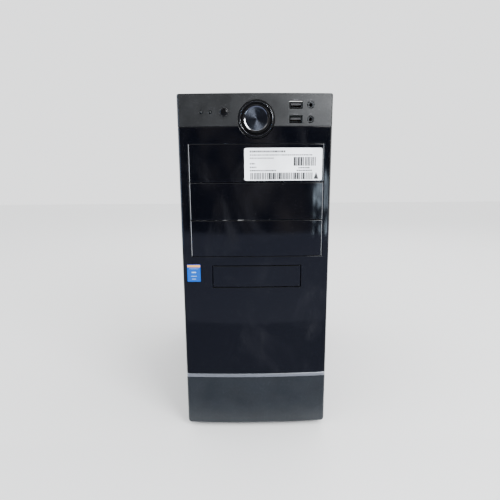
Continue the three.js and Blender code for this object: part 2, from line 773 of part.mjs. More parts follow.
function buildSlotCovers() {
  const group = subassembly();
  const [length, height] = slotCoverSize;
  const face = rearInner - gap;
  for (let i = 0; i < slotCount; i += 1) {
    const z = slotTopZ - i * slotPitch;
    const inner = boardFace - 1 - length;
    const plate = block([inner, boardFace - 1], [face - sheet, face], [z - height / 2, z + height / 2]);
    const tab = block([inner, inner + sheet], [face - 11, face], [z - height / 2, z + height / 2]);
    add(group, `slot_cover_${i + 1}`, join(plate, tab), finish.zincSteel);
  }
}

// ---- Fans ----

// A rotor about Z: a cup-shaped hub with pitched blades. It fills the heights from 0 to depth.
function rotor({ tip, hub, depth, blades, pitch, chord }) {
  const cup = cut(rod(hub, [0, depth], 0, 0, 24), rod(hub - 2, [-1, depth - 2], 0, 0, 24));
  const axle = rod(2, [0.5, depth - 1], 0, 0, 8);
  const vanes = [];
  for (let i = 0; i < blades; i += 1) {
    const vane = new THREE.BoxGeometry(tip + 4 - hub, chord, 1.4, 3, 1, 1);
    vane.translate((tip + 4 + hub) / 2 - 1, 0, 0);
    const place = vane.attributes.position;
    for (let v = 0; v < place.count; v += 1) {
      const twist = pitch * (1.25 - (0.5 * (place.getX(v) - hub)) / (tip - hub));
      const [y, z] = [place.getY(v), place.getZ(v)];
      place.setY(v, y * Math.cos(twist) - z * Math.sin(twist));
      place.setZ(v, y * Math.sin(twist) + z * Math.cos(twist) + depth / 2);
    }
    vanes.push(solid(vane.rotateZ((2 * Math.PI * i) / blades)));
  }
  const envelope = cut(rod(tip, [0.4, depth - 0.4], 0, 0, 36), rod(hub - 1, [-1, depth + 1], 0, 0, 24));
  return join(cup, axle, join(vanes).intersect(envelope));
}

// A square fan frame about Z with a round duct and a motor mount on four struts at its low end.
function fanFrame(size, depth, hub) {
  const half = size / 2;
  const duct = rod(half - 1.8, [-1, depth + 1], 0, 0, 36);
  const screwHoles = [];
  for (const x of [-1, 1]) {
    for (const y of [-1, 1]) {
      screwHoles.push(rod(2.2, [-1, depth + 1], x * (half - 4.8), y * (half - 4.8), 8));
    }
  }
  const strutDepth = 3;
  const mount = rod(hub, [0, strutDepth], 0, 0, 24);
  const cross = [
    block([-half + 1, half - 1], [-2, 2], [0, strutDepth]),
    block([-2, 2], [-half + 1, half - 1], [0, strutDepth]),
  ];
  const walls = cut(block([-half, half], [-half, half], [0, depth]), duct, screwHoles);
  return join(walls, mount, cross);
}

function buildRearFan() {
  const group = subassembly();
  group.position.set(rearFanX, rearInner - gap, rearFanZ);
  group.rotation.x = Math.PI / 2;
  const hub = 19;
  const tip = rearFanSize / 2 - 1.8 - fanTipGap;
  add(group, "rear_fan_frame", fanFrame(rearFanSize, rearFanDepth, hub), finish.satinBlack);
  const blades = rotor({ tip, hub, depth: rearFanDepth - 4.5, blades: 7, pitch: 0.62, chord: 27 });
  add(group, "rear_fan_rotor", blades, finish.satinBlack).position.z = 3.5;
}

// ---- Processor cooler ----

// The heatsink's outline: a round core with straight fins, drawn once round the circle.
function finnedOutline(core, radius, fins, finWidth) {
  const outline = [];
  for (let i = 0; i < fins; i += 1) {
    const angle = (2 * Math.PI * i) / fins;
    for (const [reach, offset] of [[core, -1], [radius, -1], [radius, 1], [core, 1]]) {
      const half = offset * (finWidth / 2);
      const [c, s] = [Math.cos(angle), Math.sin(angle)];
      outline.push(new THREE.Vector2(reach * c - half * s, reach * s + half * c));
    }
  }
  return outline;
}

// The cooler is drawn about Z with Z = 0 on the processor, and turned to face -X.
function buildCooler() {
  const group = subassembly();
  group.position.set(boardFace - socketHeight - gap, cpuY, cpuZ);
  group.rotation.y = -Math.PI / 2;
  const fins = prism(finnedOutline(16, sinkRadius, sinkFins, 1.3), [2, sinkHeight]);
  add(group, "cpu_heatsink", join(rod(16.5, [0, sinkHeight], 0, 0, 24), fins), finish.aluminium);

  const fanLow = sinkHeight + gap;
  const fanHigh = fanLow + coolerFanDepth;
  const ring = cut(
    rod(sinkRadius + 4, [fanLow, fanHigh], 0, 0, 36),
    rod(sinkRadius + 1.5, [fanLow - 1, fanHigh + 1], 0, 0, 36),
  );
  const strut = 2.5;
  const motor = rod(17, [fanLow, fanLow + strut], 0, 0, 24);
  const cross = [
    block([-sinkRadius - 2, sinkRadius + 2], [-1.5, 1.5], [fanLow, fanLow + strut]),
    block([-1.5, 1.5], [-sinkRadius - 2, sinkRadius + 2], [fanLow, fanLow + strut]),
  ];
  const legs = [];
  for (let i = 0; i < 4; i += 1) {
    const reach = (pinSpacing / 2) * Math.SQRT2;
    const arm = new THREE.BoxGeometry(reach - sinkRadius + 2, 8, 5);
    arm.translate((reach + sinkRadius + 2) / 2, 0, fanLow + 2.5);
    const pin = new THREE.CylinderGeometry(3.5, 3.5, fanLow + 5 + socketHeight, 10);
    pin.rotateX(Math.PI / 2).translate(reach, 0, (fanLow + 5 - socketHeight) / 2);
    const turn = Math.PI / 4 + (i * Math.PI) / 2;
    legs.push(solid(arm.rotateZ(turn)), solid(pin.rotateZ(turn)));
  }
  add(group, "cpu_fan_frame", join(ring, motor, cross, legs), finish.satinBlack);

  const depth = coolerFanDepth - strut - 1;
  const tip = sinkRadius + 1.5 - fanTipGap;
  const blades = rotor({ tip, hub: 17, depth, blades: 7, pitch: 0.55, chord: 24 });
  add(group, "cpu_fan_rotor", blades, finish.satinBlack).position.z = fanLow + strut + 0.5;
}

// ---- Motherboard ----

// A block standing on the board's face, given its height, depth range and vertical range.
const onBoard = (height, depths, heights) => block([boardFace - height, boardFace + board / 2], depths, heights);

const memoryTop = boardTop - 8;
const memorySlotHeight = 8;

function motherboard() {
  const plate = block([boardFace, boardFace + board], [boardFront, boardRear], [boardBottom, boardTop]);
  const parts = [onBoard(socketHeight, [cpuY - 19, cpuY + 19], [cpuZ - 19, cpuZ + 19])];
  for (const y of memoryY) parts.push(onBoard(memorySlotHeight, [y - 3.2, y + 3.2], [memoryTop - 141, memoryTop]));
  parts.push(onBoard(12, [boardFront + 3, boardFront + 13], [cpuZ - 30, cpuZ + 22])); // main power connector
  parts.push(onBoard(12, [boardRear - 52, boardRear - 42], [boardTop - 14, boardTop - 4])); // processor power
  parts.push(onBoard(9, [boardFront + 24, boardFront + 56], [boardBottom + 50, boardBottom + 82])); // chipset sink
  parts.push(onBoard(8, [boardFront + 3, boardFront + 17], [boardBottom + 60, boardBottom + 92])); // disk ports
  parts.push(onBoard(8, [boardFront + 16, boardFront + 62], [boardBottom + 2, boardBottom + 8])); // front headers
  const slotLengths = [89, 25, 85, 85];
  slotLengths.forEach((length, i) => {
    const z = slotTopZ - i * slotPitch - 4;
    if (z - 4 > boardBottom + 8) parts.push(onBoard(11, [boardRear - 52 - length, boardRear - 52], [z - 3.7, z + 3.7]));
  });
  for (let i = 0; i < 4; i += 1) {
    const z = cpuZ + 30 - i * 18;
    parts.push(rodX(4, [boardFace - 11, boardFace + 0.5], cpuY + 62, z, 10)); // capacitors by the processor
  }
  return join(plate, parts);
}

// Connectors at the rear edge, each [height above the board, length along the edge, gap to the next].
const connectors = [
  [30, 14.5, 3], // keyboard and serial bus
  [28, 31, 5], // two video sockets
  [12, 15, 5], // digital video
  [28, 14.5, 4], // serial bus pair
  [28, 16.5, 4], // network over serial bus pair
  [32, 13.5, 0], // three sound sockets
];
const networkIndex = 4;
const connectorProud = 1.2;

function connectorSpans() {
  let top = ioTop - 5;
  return connectors.map(([height, length, space]) => {
    const span = { height, z: [top - length, top] };
    top -= length + space;
    return span;
  });
}

function rearIoBlock() {
  const face = boardFace - gap;
  const outer = chassisRear + connectorProud;
  const spans = connectorSpans();
  const last = spans[spans.length - 1].z[0];
  const base = block([face - 3, face], [boardRear - 14, boardRear - 1], [last, ioTop - 5]);
  const blocks = spans.map(({ height, z }) => block([face - height, face], [boardRear - 14, outer], z));
  const [low, high] = spans[networkIndex].z;
  const socket = block([face - 12, face - 3], [outer - 11, outer + 1], [low + 2.2, high - 2.2]);
  return cut(join(base, blocks), socket);
}

function ioShield() {
  const [w, z] = [[ioX[0] + gap, ioX[1] - gap], [ioBottom + gap, ioTop - gap]];
  const rim = block(w, [rearInner - 1.5, chassisRear - 0.1], z);
  const wall = 0.6;
  const inside = block([w[0] + wall, w[1] - wall], [rearInner - 4, chassisRear - 0.1 - wall], [z[0] + wall, z[1] - wall]);
  const cutouts = connectorSpans().map(({ height, z: span }) =>
    block(
      [boardFace - gap - height - 0.4, boardFace - gap + 0.4],
      [rearInner - 4, chassisRear + 1],
      [span[0] - 0.4, span[1] + 0.4],
    ),
  );
  return cut(rim, inside, cutouts);
}

function buildBoard() {
  const group = subassembly();
  add(group, "motherboard", motherboard(), finish.circuit);
  add(group, "rear_io_block", rearIoBlock(), finish.zincSteel);
  add(group, "io_shield", ioShield(), finish.zincSteel);
  memoryY.forEach((y, i) => {
    const top = memoryTop - (141 - memoryLength) / 2;
    const across = [boardFace - memorySlotHeight - gap - memoryHeight, boardFace - memorySlotHeight - gap];
    const stick = block(across, [y - 0.6, y + 0.6], [top - memoryLength, top]);
    const chips = [];
    for (let c = 0; c < 8; c += 1) {
      const z = top - 14 - c * 15.2 + (c > 3 ? 0 : 4);
      chips.push(block([across[0] + 10, across[0] + 21], [y - 1.8, y], [z - 6, z + 6]));
    }
    add(group, `memory_module_${i + 1}`, join(stick, chips), finish.circuit);
  });
}

// ---- Power supply ----

const psuX = [-psuWidth / 2, psuWidth / 2];
const psuY = [psuRear - psuDepth, psuRear];
const psuFanY = (psuY[0] + psuY[1]) / 2;
const inletX = [psuX[1] - psuFrame - 6 - inletSize[0], psuX[1] - psuFrame - 6];
const inletZ = [psuBottom + inletRise, psuBottom + inletRise + inletSize[1]];
const inletMidZ = (inletZ[0] + inletZ[1]) / 2;
const plugX = [inletX[1] - 2 - plugSize[0], inletX[1] - 2];
const rockerX = inletX[0] + 2.5 + rockerSize[0] / 2;

// The supply's body: rear wall, roof and front wall in one folded sheet.
function psuCase() {
  const heights = [psuBottom + sheet + gap, psuTop];
  const inside = [psuX[0] + sheet + gap, psuX[1] - sheet - gap];
  const roofSheet = block(inside, psuY, [psuTop - sheet, psuTop]);
  const rear = block(inside, [psuY[1] - sheet, psuY[1]], heights);
  const front = block(inside, [psuY[0], psuY[0] + sheet], heights);
  const through = [psuY[1] - 2, psuY[1] + 1];
  const clear = [[inletX[0] - gap, inletX[1] + gap], [inletZ[0] - gap, inletZ[1] + gap]];
  const inletHole = block(clear[0], through, clear[1]);
  const vents = [];
  for (let i = 0; i < 7; i += 1) {
    const x = psuX[0] + psuFrame + 8 + i * 9;
    vents.push(block([x, x + 5], through, [psuBottom + psuFrame + 8, psuTop - psuFrame - 8]));
  }
  const cableHole = block([-8, 14], [psuY[0] - 1, psuY[0] + 2], [psuBottom + 24, psuBottom + 40]);
  return cut(join(roofSheet, rear, front), inletHole, vents, cableHole);
}

// The supply's cover: floor with the fan opening, and two side walls.
function psuCover() {
  const floorSheet = block(psuX, psuY, [psuBottom, psuBottom + sheet]);
  const walls = [[psuX[0], psuX[0] + sheet], [psuX[1] - sheet, psuX[1]]].map((across) =>
    block(across, psuY, [psuBottom, psuTop - gap]),
  );
  const intake = rod(psuFanSize / 2 - 2, [psuBottom - 1, psuBottom + sheet + 1], 0, psuFanY, 40);
  return cut(join(floorSheet, walls), intake);
}

// The mains inlet and the rocker's housing in one moulding, with its three contacts.
function powerInlet() {
  const rear = psuRear + 0.6;
  const body = block(inletX, [rear - inletDepth, rear], inletZ);
  const plugZ = [inletMidZ - plugSize[1] / 2, inletMidZ + plugSize[1] / 2];
  const socket = block(plugX, [rear - plugDepth, rear + 1], plugZ);
  const halfRocker = [rockerSize[0] / 2 + 0.5, rockerSize[1] / 2 + 0.8];
  const rockerWell = block(
    [rockerX - halfRocker[0], rockerX + halfRocker[0]],
    [rear - 11, rear + 1],
    [inletMidZ - halfRocker[1], inletMidZ + halfRocker[1]],
  );
  const middle = (plugX[0] + plugX[1]) / 2;
  const pins = [[-7, -2], [0, 2.6], [7, -2]].map(([x, z]) =>
    block([middle + x - 1, middle + x + 1], [rear - plugDepth - 1, rear - 2], [inletMidZ + z, inletMidZ + z + 4]),
  );
  return join(cut(body, socket, rockerWell), pins);
}

// The rocker about its pivot, which lies along X, drawn level with its two halves sloping back.
function rocker() {
  const half = rockerSize[1] / 2;
  const slope = half * Math.tan(THREE.MathUtils.degToRad(rockerTilt));
  const outline = [[-half, 3 + slope], [0, 3], [half, 3 + slope], [half - 2, -3], [-half + 2, -3]];
  const geometry = new THREE.ExtrudeGeometry(new THREE.Shape(outline.map((p) => new THREE.Vector2(...p))), {
    depth: rockerSize[0],
    bevelEnabled: false,
  });
  // Outline X runs along the tower's Z and outline Y along its Y.
  geometry.applyMatrix4(new THREE.Matrix4().makeBasis(
    new THREE.Vector3(0, 0, 1),
    new THREE.Vector3(0, 1, 0),
    new THREE.Vector3(-1, 0, 0),
  ));
  return solid(geometry.translate(rockerSize[0] / 2, 0, 0));
}

const rockerPivotY = psuRear - 4;

function buildPowerSupply() {
  const group = subassembly();
  add(group, "psu_case", psuCase(), finish.zincSteel);
  add(group, "psu_cover", psuCover(), finish.zincSteel);
  add(group, "power_inlet", powerInlet(), finish.satinBlack);
  const rockerMesh = add(group, "power_rocker", rocker(), finish.satinBlack);
  rockerMesh.position.set(rockerX, rockerPivotY, inletMidZ);
  rockerMesh.rotation.x = THREE.MathUtils.degToRad(rockerTilt);
  const tip = psuFanSize / 2 - 2 - fanTipGap;
  const blades = rotor({ tip, hub: 20, depth: 20, blades: 7, pitch: 0.5, chord: 34 });
  add(group, "psu_fan_rotor", blades, finish.satinBlack).position.set(0, psuFanY, psuBottom + sheet + 1.5);
}

// ---- Hard disk and harnesses ----

const diskZ = smallBayZ[0] - 3 - 2 * diskBayPitch + (diskBayPitch - diskHeight) / 2;
const diskY = [cageY[0] + 4, cageY[0] + 4 + diskDepth];

function hardDisk() {
  const across = [bayCentreX - diskWidth / 2, bayCentreX + diskWidth / 2];
  const casting = block(across, diskY, [diskZ, diskZ + diskHeight - 1.2]);
  const lid = block([across[0] + 3, across[1] - 3], [diskY[0] + 3, diskY[1] - 5], [diskZ + 5, diskZ + diskHeight]);
  const port = block([bayCentreX - 40, bayCentreX + 4], [diskY[1] - 8, diskY[1] + 1], [diskZ - 1, diskZ + 5]);
  return cut(join(casting, lid), port);
}

function buildDiskAndHarnesses() {
  const group = subassembly();
  add(group, "hard_disk", hardDisk(), finish.aluminium);

  const psuExit = psuY[0] - gap;
  const plugFace = boardFace - 12 - plugSpace;
  const mainPlugY = boardFront + 8;
  add(group, "main_power_harness", tube([
    [3, psuExit, psuBottom + 32],
    [3, psuExit - 10, psuBottom + 31],
    [6, psuExit - 24, psuBottom + 22],
    [12, psuExit - 34, psuBottom + 2],
    [20, psuExit - 42, psuBottom - 22],
    [28, psuExit - 50, psuBottom - 42],
    [38, mainPlugY + 1, cpuZ + 2],
    [48, mainPlugY, cpuZ - 5],
    [plugFace, mainPlugY, cpuZ - 5],
  ], 5.5, { steps: 34 }), finish.cable);

  const diskPort = [bayCentreX - 18, diskY[1] + plugSpace - 8, diskZ + 2];
  const portZ = boardBottom + 76;
  add(group, "disk_data_cable", tube([
    diskPort,
    [diskPort[0] + 1, diskY[1] + 6, diskZ + 2],
    [diskPort[0] + 8, diskY[1] + 14, diskZ],
    [diskPort[0] + 30, diskY[1] + 17, diskZ - 3],
    [diskPort[0] + 54, boardFront + 9, portZ + 4],
    [diskPort[0] + 66, boardFront + 10, portZ],
    [boardFace - 8 - plugSpace, boardFront + 10, portZ],
  ], 2.4, { steps: 30 }), finish.redCable);

  add(group, "front_panel_harness", tube([
    [headerX, frontBoardY + 8 + plugSpace, headerZ],
    [headerX, frontBoardY + 14, headerZ],
    [headerX, frontInner + 12, headerZ - 4],
    [headerX, frontInner + 50, headerZ - 10],
    [headerX, frontInner + 100, headerZ - 14],
    [headerX, cageY[1] + 2, headerZ - 18],
    [headerX + 2, cageY[1] + 9, headerZ - 34],
    [headerX + 6, cageY[1] + 9, bayTop - 60],
    [headerX + 10, cageY[1] + 8, diskZ + 60],
    [headerX + 12, cageY[1] + 8, diskZ - 20],
    [headerX + 10, boardFront + 12, boardBottom + 12],
    [headerX + 12, boardFront + 26, boardBottom + 5],
    [boardFace - 8 - plugSpace, boardFront + 27, boardBottom + 5],
  ], 3, { steps: 50 }), finish.cable);
}

buildFrontMouldings();
buildStickers();
buildPowerButton();
buildControls();
buildChassis();
buildSlotCovers();
buildRearFan();
buildCooler();
buildBoard();
buildPowerSupply();
buildDiskAndHarnesses();

export default root;
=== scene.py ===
# %% [markdown]
# # A desktop computer tower, dressed in Blender
#
# The solids of this tower were designed elsewhere and arrive as a fixed frame: sixty named pieces, in
# metres, with the floor at z = 0 and the front facing -Y. This lesson gives them their looks. Steel
# gets its folds and its zinc, plastic gets its gloss and its dust, and what was too small for the
# design, such as screws, ink, chips and perforations, is made here and rides on the piece it belongs to.

# %% Load the frame
import math
import random

import bmesh
import bpy
from mathutils import Matrix, Vector
from mathutils.bvhtree import BVHTree
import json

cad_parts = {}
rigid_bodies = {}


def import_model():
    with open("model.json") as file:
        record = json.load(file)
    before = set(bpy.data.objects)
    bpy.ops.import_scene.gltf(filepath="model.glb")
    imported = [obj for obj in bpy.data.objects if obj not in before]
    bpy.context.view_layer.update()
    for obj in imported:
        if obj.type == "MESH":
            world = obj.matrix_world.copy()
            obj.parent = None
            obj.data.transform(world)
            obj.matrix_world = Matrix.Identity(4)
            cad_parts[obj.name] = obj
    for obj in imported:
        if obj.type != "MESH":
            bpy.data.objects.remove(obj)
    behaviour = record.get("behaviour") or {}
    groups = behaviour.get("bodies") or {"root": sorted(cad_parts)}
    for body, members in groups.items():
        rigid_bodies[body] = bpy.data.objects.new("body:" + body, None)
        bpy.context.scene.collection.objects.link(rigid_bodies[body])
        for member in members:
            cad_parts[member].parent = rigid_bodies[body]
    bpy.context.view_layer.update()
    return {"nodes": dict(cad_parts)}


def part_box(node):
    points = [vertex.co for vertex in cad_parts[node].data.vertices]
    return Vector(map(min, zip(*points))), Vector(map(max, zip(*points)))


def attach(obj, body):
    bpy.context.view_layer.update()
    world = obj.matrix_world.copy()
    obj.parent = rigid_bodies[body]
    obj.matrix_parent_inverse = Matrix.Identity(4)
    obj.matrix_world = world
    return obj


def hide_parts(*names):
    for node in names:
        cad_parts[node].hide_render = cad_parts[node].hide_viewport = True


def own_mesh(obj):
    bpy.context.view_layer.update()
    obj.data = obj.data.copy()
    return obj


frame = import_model()
nodes = frame["nodes"]

# %% [markdown]
# ## Camera
#
# The camera stands a little left of the tower's middle, 0.5 m in front of it and 0.1 m below its top
# edge, and looks slightly down. Seen like this the upright edges draw together towards the floor. A
# frame of three directions says which way it looks more plainly than three Euler angles do.

# %% Place the camera
front_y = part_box("gloss_fascia")[0].y
LENS_MM, SENSOR_MM, SHIFT_UP = 31.68, 36, 0.05
CAMERA_PLACE = Vector((-0.0140, front_y - 0.5093, 0.3044))
PITCH, YAW, ROLL = math.radians(11.87), math.radians(0.80), math.radians(-0.38)


def look_along(pitch, yaw, roll):
    """The turn of a camera that faces +Y, then pans right, tilts down and rolls."""
    ahead = Vector((math.sin(yaw) * math.cos(pitch), math.cos(yaw) * math.cos(pitch), -math.sin(pitch)))
    level = Vector((math.cos(yaw), -math.sin(yaw), 0))
    right = Matrix.Rotation(-roll, 3, ahead) @ level
    up = right.cross(ahead)
    return Matrix((right, up, -ahead)).transposed()


camera_data = bpy.data.cameras.new("camera")
camera_data.sensor_width, camera_data.lens = SENSOR_MM, LENS_MM
camera_data.shift_y = SHIFT_UP
camera = bpy.data.objects.new("camera", camera_data)
camera.matrix_world = Matrix.Translation(CAMERA_PLACE) @ look_along(PITCH, YAW, ROLL).to_4x4()
bpy.context.scene.collection.objects.link(camera)
bpy.context.scene.camera = camera
print("camera", round(front_y - CAMERA_PLACE.y, 3), "m in front")

# %% [markdown]
# ## Floor and light
#
# A pale floor and a pale world light the tower evenly. A polished black front is a mirror, though, and
# under an even white sky it would look grey. A studio stands dark cards behind the camera for
# this, out of its sight, so that the gloss reflects something dark. Of the three soft lamps, two shape
# the front's edges and one lights the back. All sizes and places are in metres.


# %% Floor, world, lamps and cards
def shown(name, mesh, *finishes):
    """A new object with that mesh, linked to the scene."""
    piece = bpy.data.objects.new(name, mesh)
    bpy.context.scene.collection.objects.link(piece)
    for finish in finishes:
        piece.data.materials.append(finish)
    return piece


def flat_card(name, corners, finish):
    mesh = bpy.data.meshes.new(name)
    mesh.from_pydata([tuple(c) for c in corners], [], [tuple(range(len(corners)))])
    card = shown(name, mesh, finish)
    return card


PATCH_EDGES = (0.45, 0.68)


def glow(name, dark, bright, scale):
    """A finish that only gives light, in soft patches, for cards that the gloss reflects."""
    material = bpy.data.materials.new(name)
    material.use_nodes = True
    tree = material.node_tree
    tree.nodes.clear()
    coords = tree.nodes.new("ShaderNodeTexCoord")
    noise = tree.nodes.new("ShaderNodeTexNoise")
    noise.inputs["Scale"].default_value = scale
    noise.inputs["Detail"].default_value = 2
    ramp = tree.nodes.new("ShaderNodeValToRGB")
    for element, place, colour in zip(ramp.color_ramp.elements, PATCH_EDGES, (dark, bright)):
        element.position, element.color = place, (*colour, 1)
    emission = tree.nodes.new("ShaderNodeEmission")
    output = tree.nodes.new("ShaderNodeOutputMaterial")
    tree.links.new(coords.outputs["Object"], noise.inputs["Vector"])
    tree.links.new(noise.outputs["Fac"], ramp.inputs["Fac"])
    tree.links.new(ramp.outputs["Color"], emission.inputs["Color"])
    tree.links.new(emission.outputs[0], output.inputs["Surface"])
    return material


def only_mirrored(card):
    """Seen in reflections, and by nothing else."""
    card.visible_camera = card.visible_diffuse = card.visible_shadow = False
    card.visible_transmission = card.visible_volume_scatter = False


def lamp(name, place, target, size, power, colour=(1, 1, 1)):
    data = bpy.data.lights.new(name, "AREA")
    data.shape, data.size, data.size_y = "RECTANGLE", *size
    data.energy, data.color = power, colour
    light = bpy.data.objects.new(name, data)
    light.location = place
    light.rotation_euler = (Vector(target) - Vector(place)).to_track_quat("-Z", "Y").to_euler()
    bpy.context.scene.collection.objects.link(light)


SKY_COLOUR, SKY_STRENGTH = (0.98, 0.99, 1.0, 1), 2.0
world = bpy.data.worlds.new("studio")
world.use_nodes = True
backdrop = world.node_tree.nodes["Background"].inputs
backdrop["Color"].default_value, backdrop["Strength"].default_value = SKY_COLOUR, SKY_STRENGTH
bpy.context.scene.world = world

floor_finish = bpy.data.materials.new("pale_floor")
floor_finish.use_nodes = True
floor_shader = floor_finish.node_tree.nodes["Principled BSDF"]
floor_shader.inputs["Base Color"].default_value = (0.86, 0.86, 0.86, 1)
floor_shader.inputs["Roughness"].default_value = 0.7
FLOOR_REACH = 6.0
floor_corners = [(x * FLOOR_REACH, y * FLOOR_REACH, 0) for x, y in ((-1, -1), (1, -1), (1, 1), (-1, 1))]
flat_card("floor", floor_corners, floor_finish)

room = glow("dark_room", (0.008, 0.009, 0.013), (0.42, 0.37, 0.34), 1.9)
near_shade = glow("near_floor", (0.22, 0.245, 0.36), (0.30, 0.33, 0.46), 0.8)
far_shade = glow("far_floor", (0.37, 0.41, 0.58), (0.49, 0.53, 0.71), 0.8)
sky = glow("sky_strip", (5, 9, 17), (7, 12, 20), 1.0)
strip = glow("bright_strip", (13, 14, 15), (16, 16, 16), 1.0)
pane = glow("window_pane", (0.05, 0.06, 0.08), (9.0, 11.0, 13.0), 11.0)
FAR, WIDE, TALL, LOW = -2.4, 3.0, 3.2, 0.002
NEAR, BREAK = front_y - 0.03, -0.62


def upright(start, end, bottom, top):
    """The corners of a card that stands on the line from start to end."""
    return [(*start, bottom), (*end, bottom), (*end, top), (*start, top)]


def lying(far, near):
    """The corners of a card that lies just over the floor."""
    return [(-WIDE, far, LOW), (WIDE, far, LOW), (WIDE, near, LOW), (-WIDE, near, LOW)]


cards = {
    "room_card": (room, upright((-WIDE, FAR), (WIDE, FAR), 0, TALL)),
    "far_floor_card": (far_shade, lying(FAR, BREAK)),
    "near_floor_card": (near_shade, lying(BREAK, NEAR)),
    "left_strip": (sky, upright((-1.50, -0.95), (-1.42, -1.05), 0, 1.6)),
    "right_strip": (strip, upright((1.60, -0.72), (1.55, -0.80), 0, 0.7)),
    "window_card": (pane, upright((0.62, -2.1), (1.05, -2.1), 0.02, 0.36)),
}
for name, (finish, corners) in cards.items():
    only_mirrored(flat_card(name, corners, finish))

lamp("key", (0.9, -1.5, 1.0), (0.05, 0, 0.28), (0.8, 0.8), 50, (0.97, 0.985, 1.0))
lamp("fill", (-1.2, -1.3, 1.7), (0, 0, 0.2), (0.9, 0.9), 4)
lamp("rear", (0.6, 1.6, 1.6), (0, 0, 0.2), (1.2, 0.8), 14)
print(len(cards), "cards that only a reflection sees, 3 lamps")

# %% [markdown]
# ## A paint box
#
# Every finish here is a Principled shader with a few textures in front of it. The class below keeps
# the wiring short: it makes a node, scales an object's own coordinates, and maps one range of values
# onto another. What is the same all over a surface is set straight on the shader's socket.


# %% The paint box
class PaintBox:
    def __init__(self, name, colour, roughness, metallic=0.0, **sockets):
        self.material = bpy.data.materials.new(name)
        self.material.use_nodes = True
        self.tree = self.material.node_tree
        self.shader = self.tree.nodes["Principled BSDF"]
        self.shader.inputs["Base Color"].default_value = (*colour, 1)
        self.shader.inputs["Roughness"].default_value = roughness
        self.shader.inputs["Metallic"].default_value = metallic
        for socket, value in sockets.items():
            self.shader.inputs[socket.replace("_", " ")].default_value = value
        self.coords = self.node("ShaderNodeTexCoord").outputs["Object"]

    def node(self, kind, inputs=(), **settings):
        made = self.tree.nodes.new(kind)
        for key, value in settings.items():
            setattr(made, key, value)
        for key, value in dict(inputs).items():
            socket = made.inputs[key]
            if isinstance(value, bpy.types.NodeSocket):
                self.tree.links.new(value, socket)
            else:
                socket.default_value = value
        return made

    def placed(self, scale=(1, 1, 1), centre=(0, 0, 0)):
        """Object coordinates measured from centre, then stretched by scale."""
        inputs = {0: self.coords, 1: centre}
        moved = self.node("ShaderNodeVectorMath", inputs, operation="SUBTRACT").outputs[0]
        return self.node("ShaderNodeVectorMath", {0: moved, 1: scale}, operation="MULTIPLY").outputs[0]

    def noise(self, scale, detail=3, roughness=0.5, vector=None, distortion=0.0):
        inputs = {"Vector": vector or self.coords, "Scale": scale, "Detail": detail, "Roughness": roughness}
        return self.node("ShaderNodeTexNoise", {**inputs, "Distortion": distortion}).outputs["Fac"]

    def cells(self, scale, output="Distance", vector=None, **settings):
        inputs = {"Vector": vector or self.coords, "Scale": scale}
        return self.node("ShaderNodeTexVoronoi", inputs, **settings).outputs[output]

    def between(self, value, low, high, start=0.0, end=1.0):
        """value, where low becomes start and high becomes end, and nothing goes past them."""
        inputs = {"Value": value, "From Min": low, "From Max": high, "To Min": start, "To Max": end}
        return self.node("ShaderNodeMapRange", inputs, interpolation_type="SMOOTHSTEP").outputs[0]

    def maths(self, operation, a, b=0.0):
        return self.node("ShaderNodeMath", {0: a, 1: b}, operation=operation).outputs[0]

    def mixed(self, share, first, second):
        """A colour that goes from first to second as share goes from 0 to 1."""
        as_colour = lambda c: c if isinstance(c, bpy.types.NodeSocket) else (*c, 1)
        inputs = {0: share, 6: as_colour(first), 7: as_colour(second)}
        return self.node("ShaderNodeMix", inputs, data_type="RGBA").outputs[2]

    def colour(self, output):
        self.tree.links.new(output, self.shader.inputs["Base Color"])

    def roughness(self, output):
        self.tree.links.new(output, self.shader.inputs["Roughness"])

    def bump(self, height, depth, strength=1.0):
        """Adds a relief of that depth in metres to whatever relief the finish already has."""
        made = self.node("ShaderNodeBump", {"Height": height, "Distance": depth, "Strength": strength})
        socket = self.shader.inputs["Normal"]
        if socket.links:
            self.tree.links.new(socket.links[0].from_socket, made.inputs["Normal"])
        self.tree.links.new(made.outputs[0], socket)

    def painted_upright_glints(self, radius, colour, share):
        """Painted highlight: paler upright edges, standing in for the reflection on their rounded edges.
        share is a pair, for the left and the right of the tower.
        """
        rounded = self.node("ShaderNodeBevel", {"Radius": radius}, samples=6).outputs[0]
        lean = self.maths("ABSOLUTE", self.node("ShaderNodeSeparateXYZ", {0: rounded}).outputs["X"])
        edge = self.maths("MULTIPLY", self.between(lean, 0.22, 0.5), self.between(lean, 0.985, 0.93))
        x = self.node("ShaderNodeSeparateXYZ", {0: self.coords}).outputs["X"]
        mask = self.maths("MULTIPLY", edge, self.between(x, -0.01, 0.01, *share))
        before = self.shader.inputs["Base Color"].links[0].from_socket
        self.colour(self.mixed(mask, before, colour))

    def edge_wear(self, radius, colour, share):
        """Paler corners, where hands and cloths rub: the bevel normal turns away from the true one."""
        rounded = self.node("ShaderNodeBevel", {"Radius": radius}, samples=4).outputs[0]
        true = self.node("ShaderNodeNewGeometry").outputs["Normal"]
        turned = self.node("ShaderNodeVectorMath", {0: rounded, 1: true}, operation="DOT_PRODUCT")
        worn = self.between(turned.outputs["Value"], 0.995, 0.90, 0.0, share)
        patchy = self.maths("MULTIPLY", worn, self.between(self.noise(400, 4), 0.35, 0.65))
        before = self.shader.inputs["Base Color"]
        source = before.links[0].from_socket if before.links else tuple(before.default_value)[:3]
        self.colour(self.mixed(patchy, source, colour))


print("paint box ready")
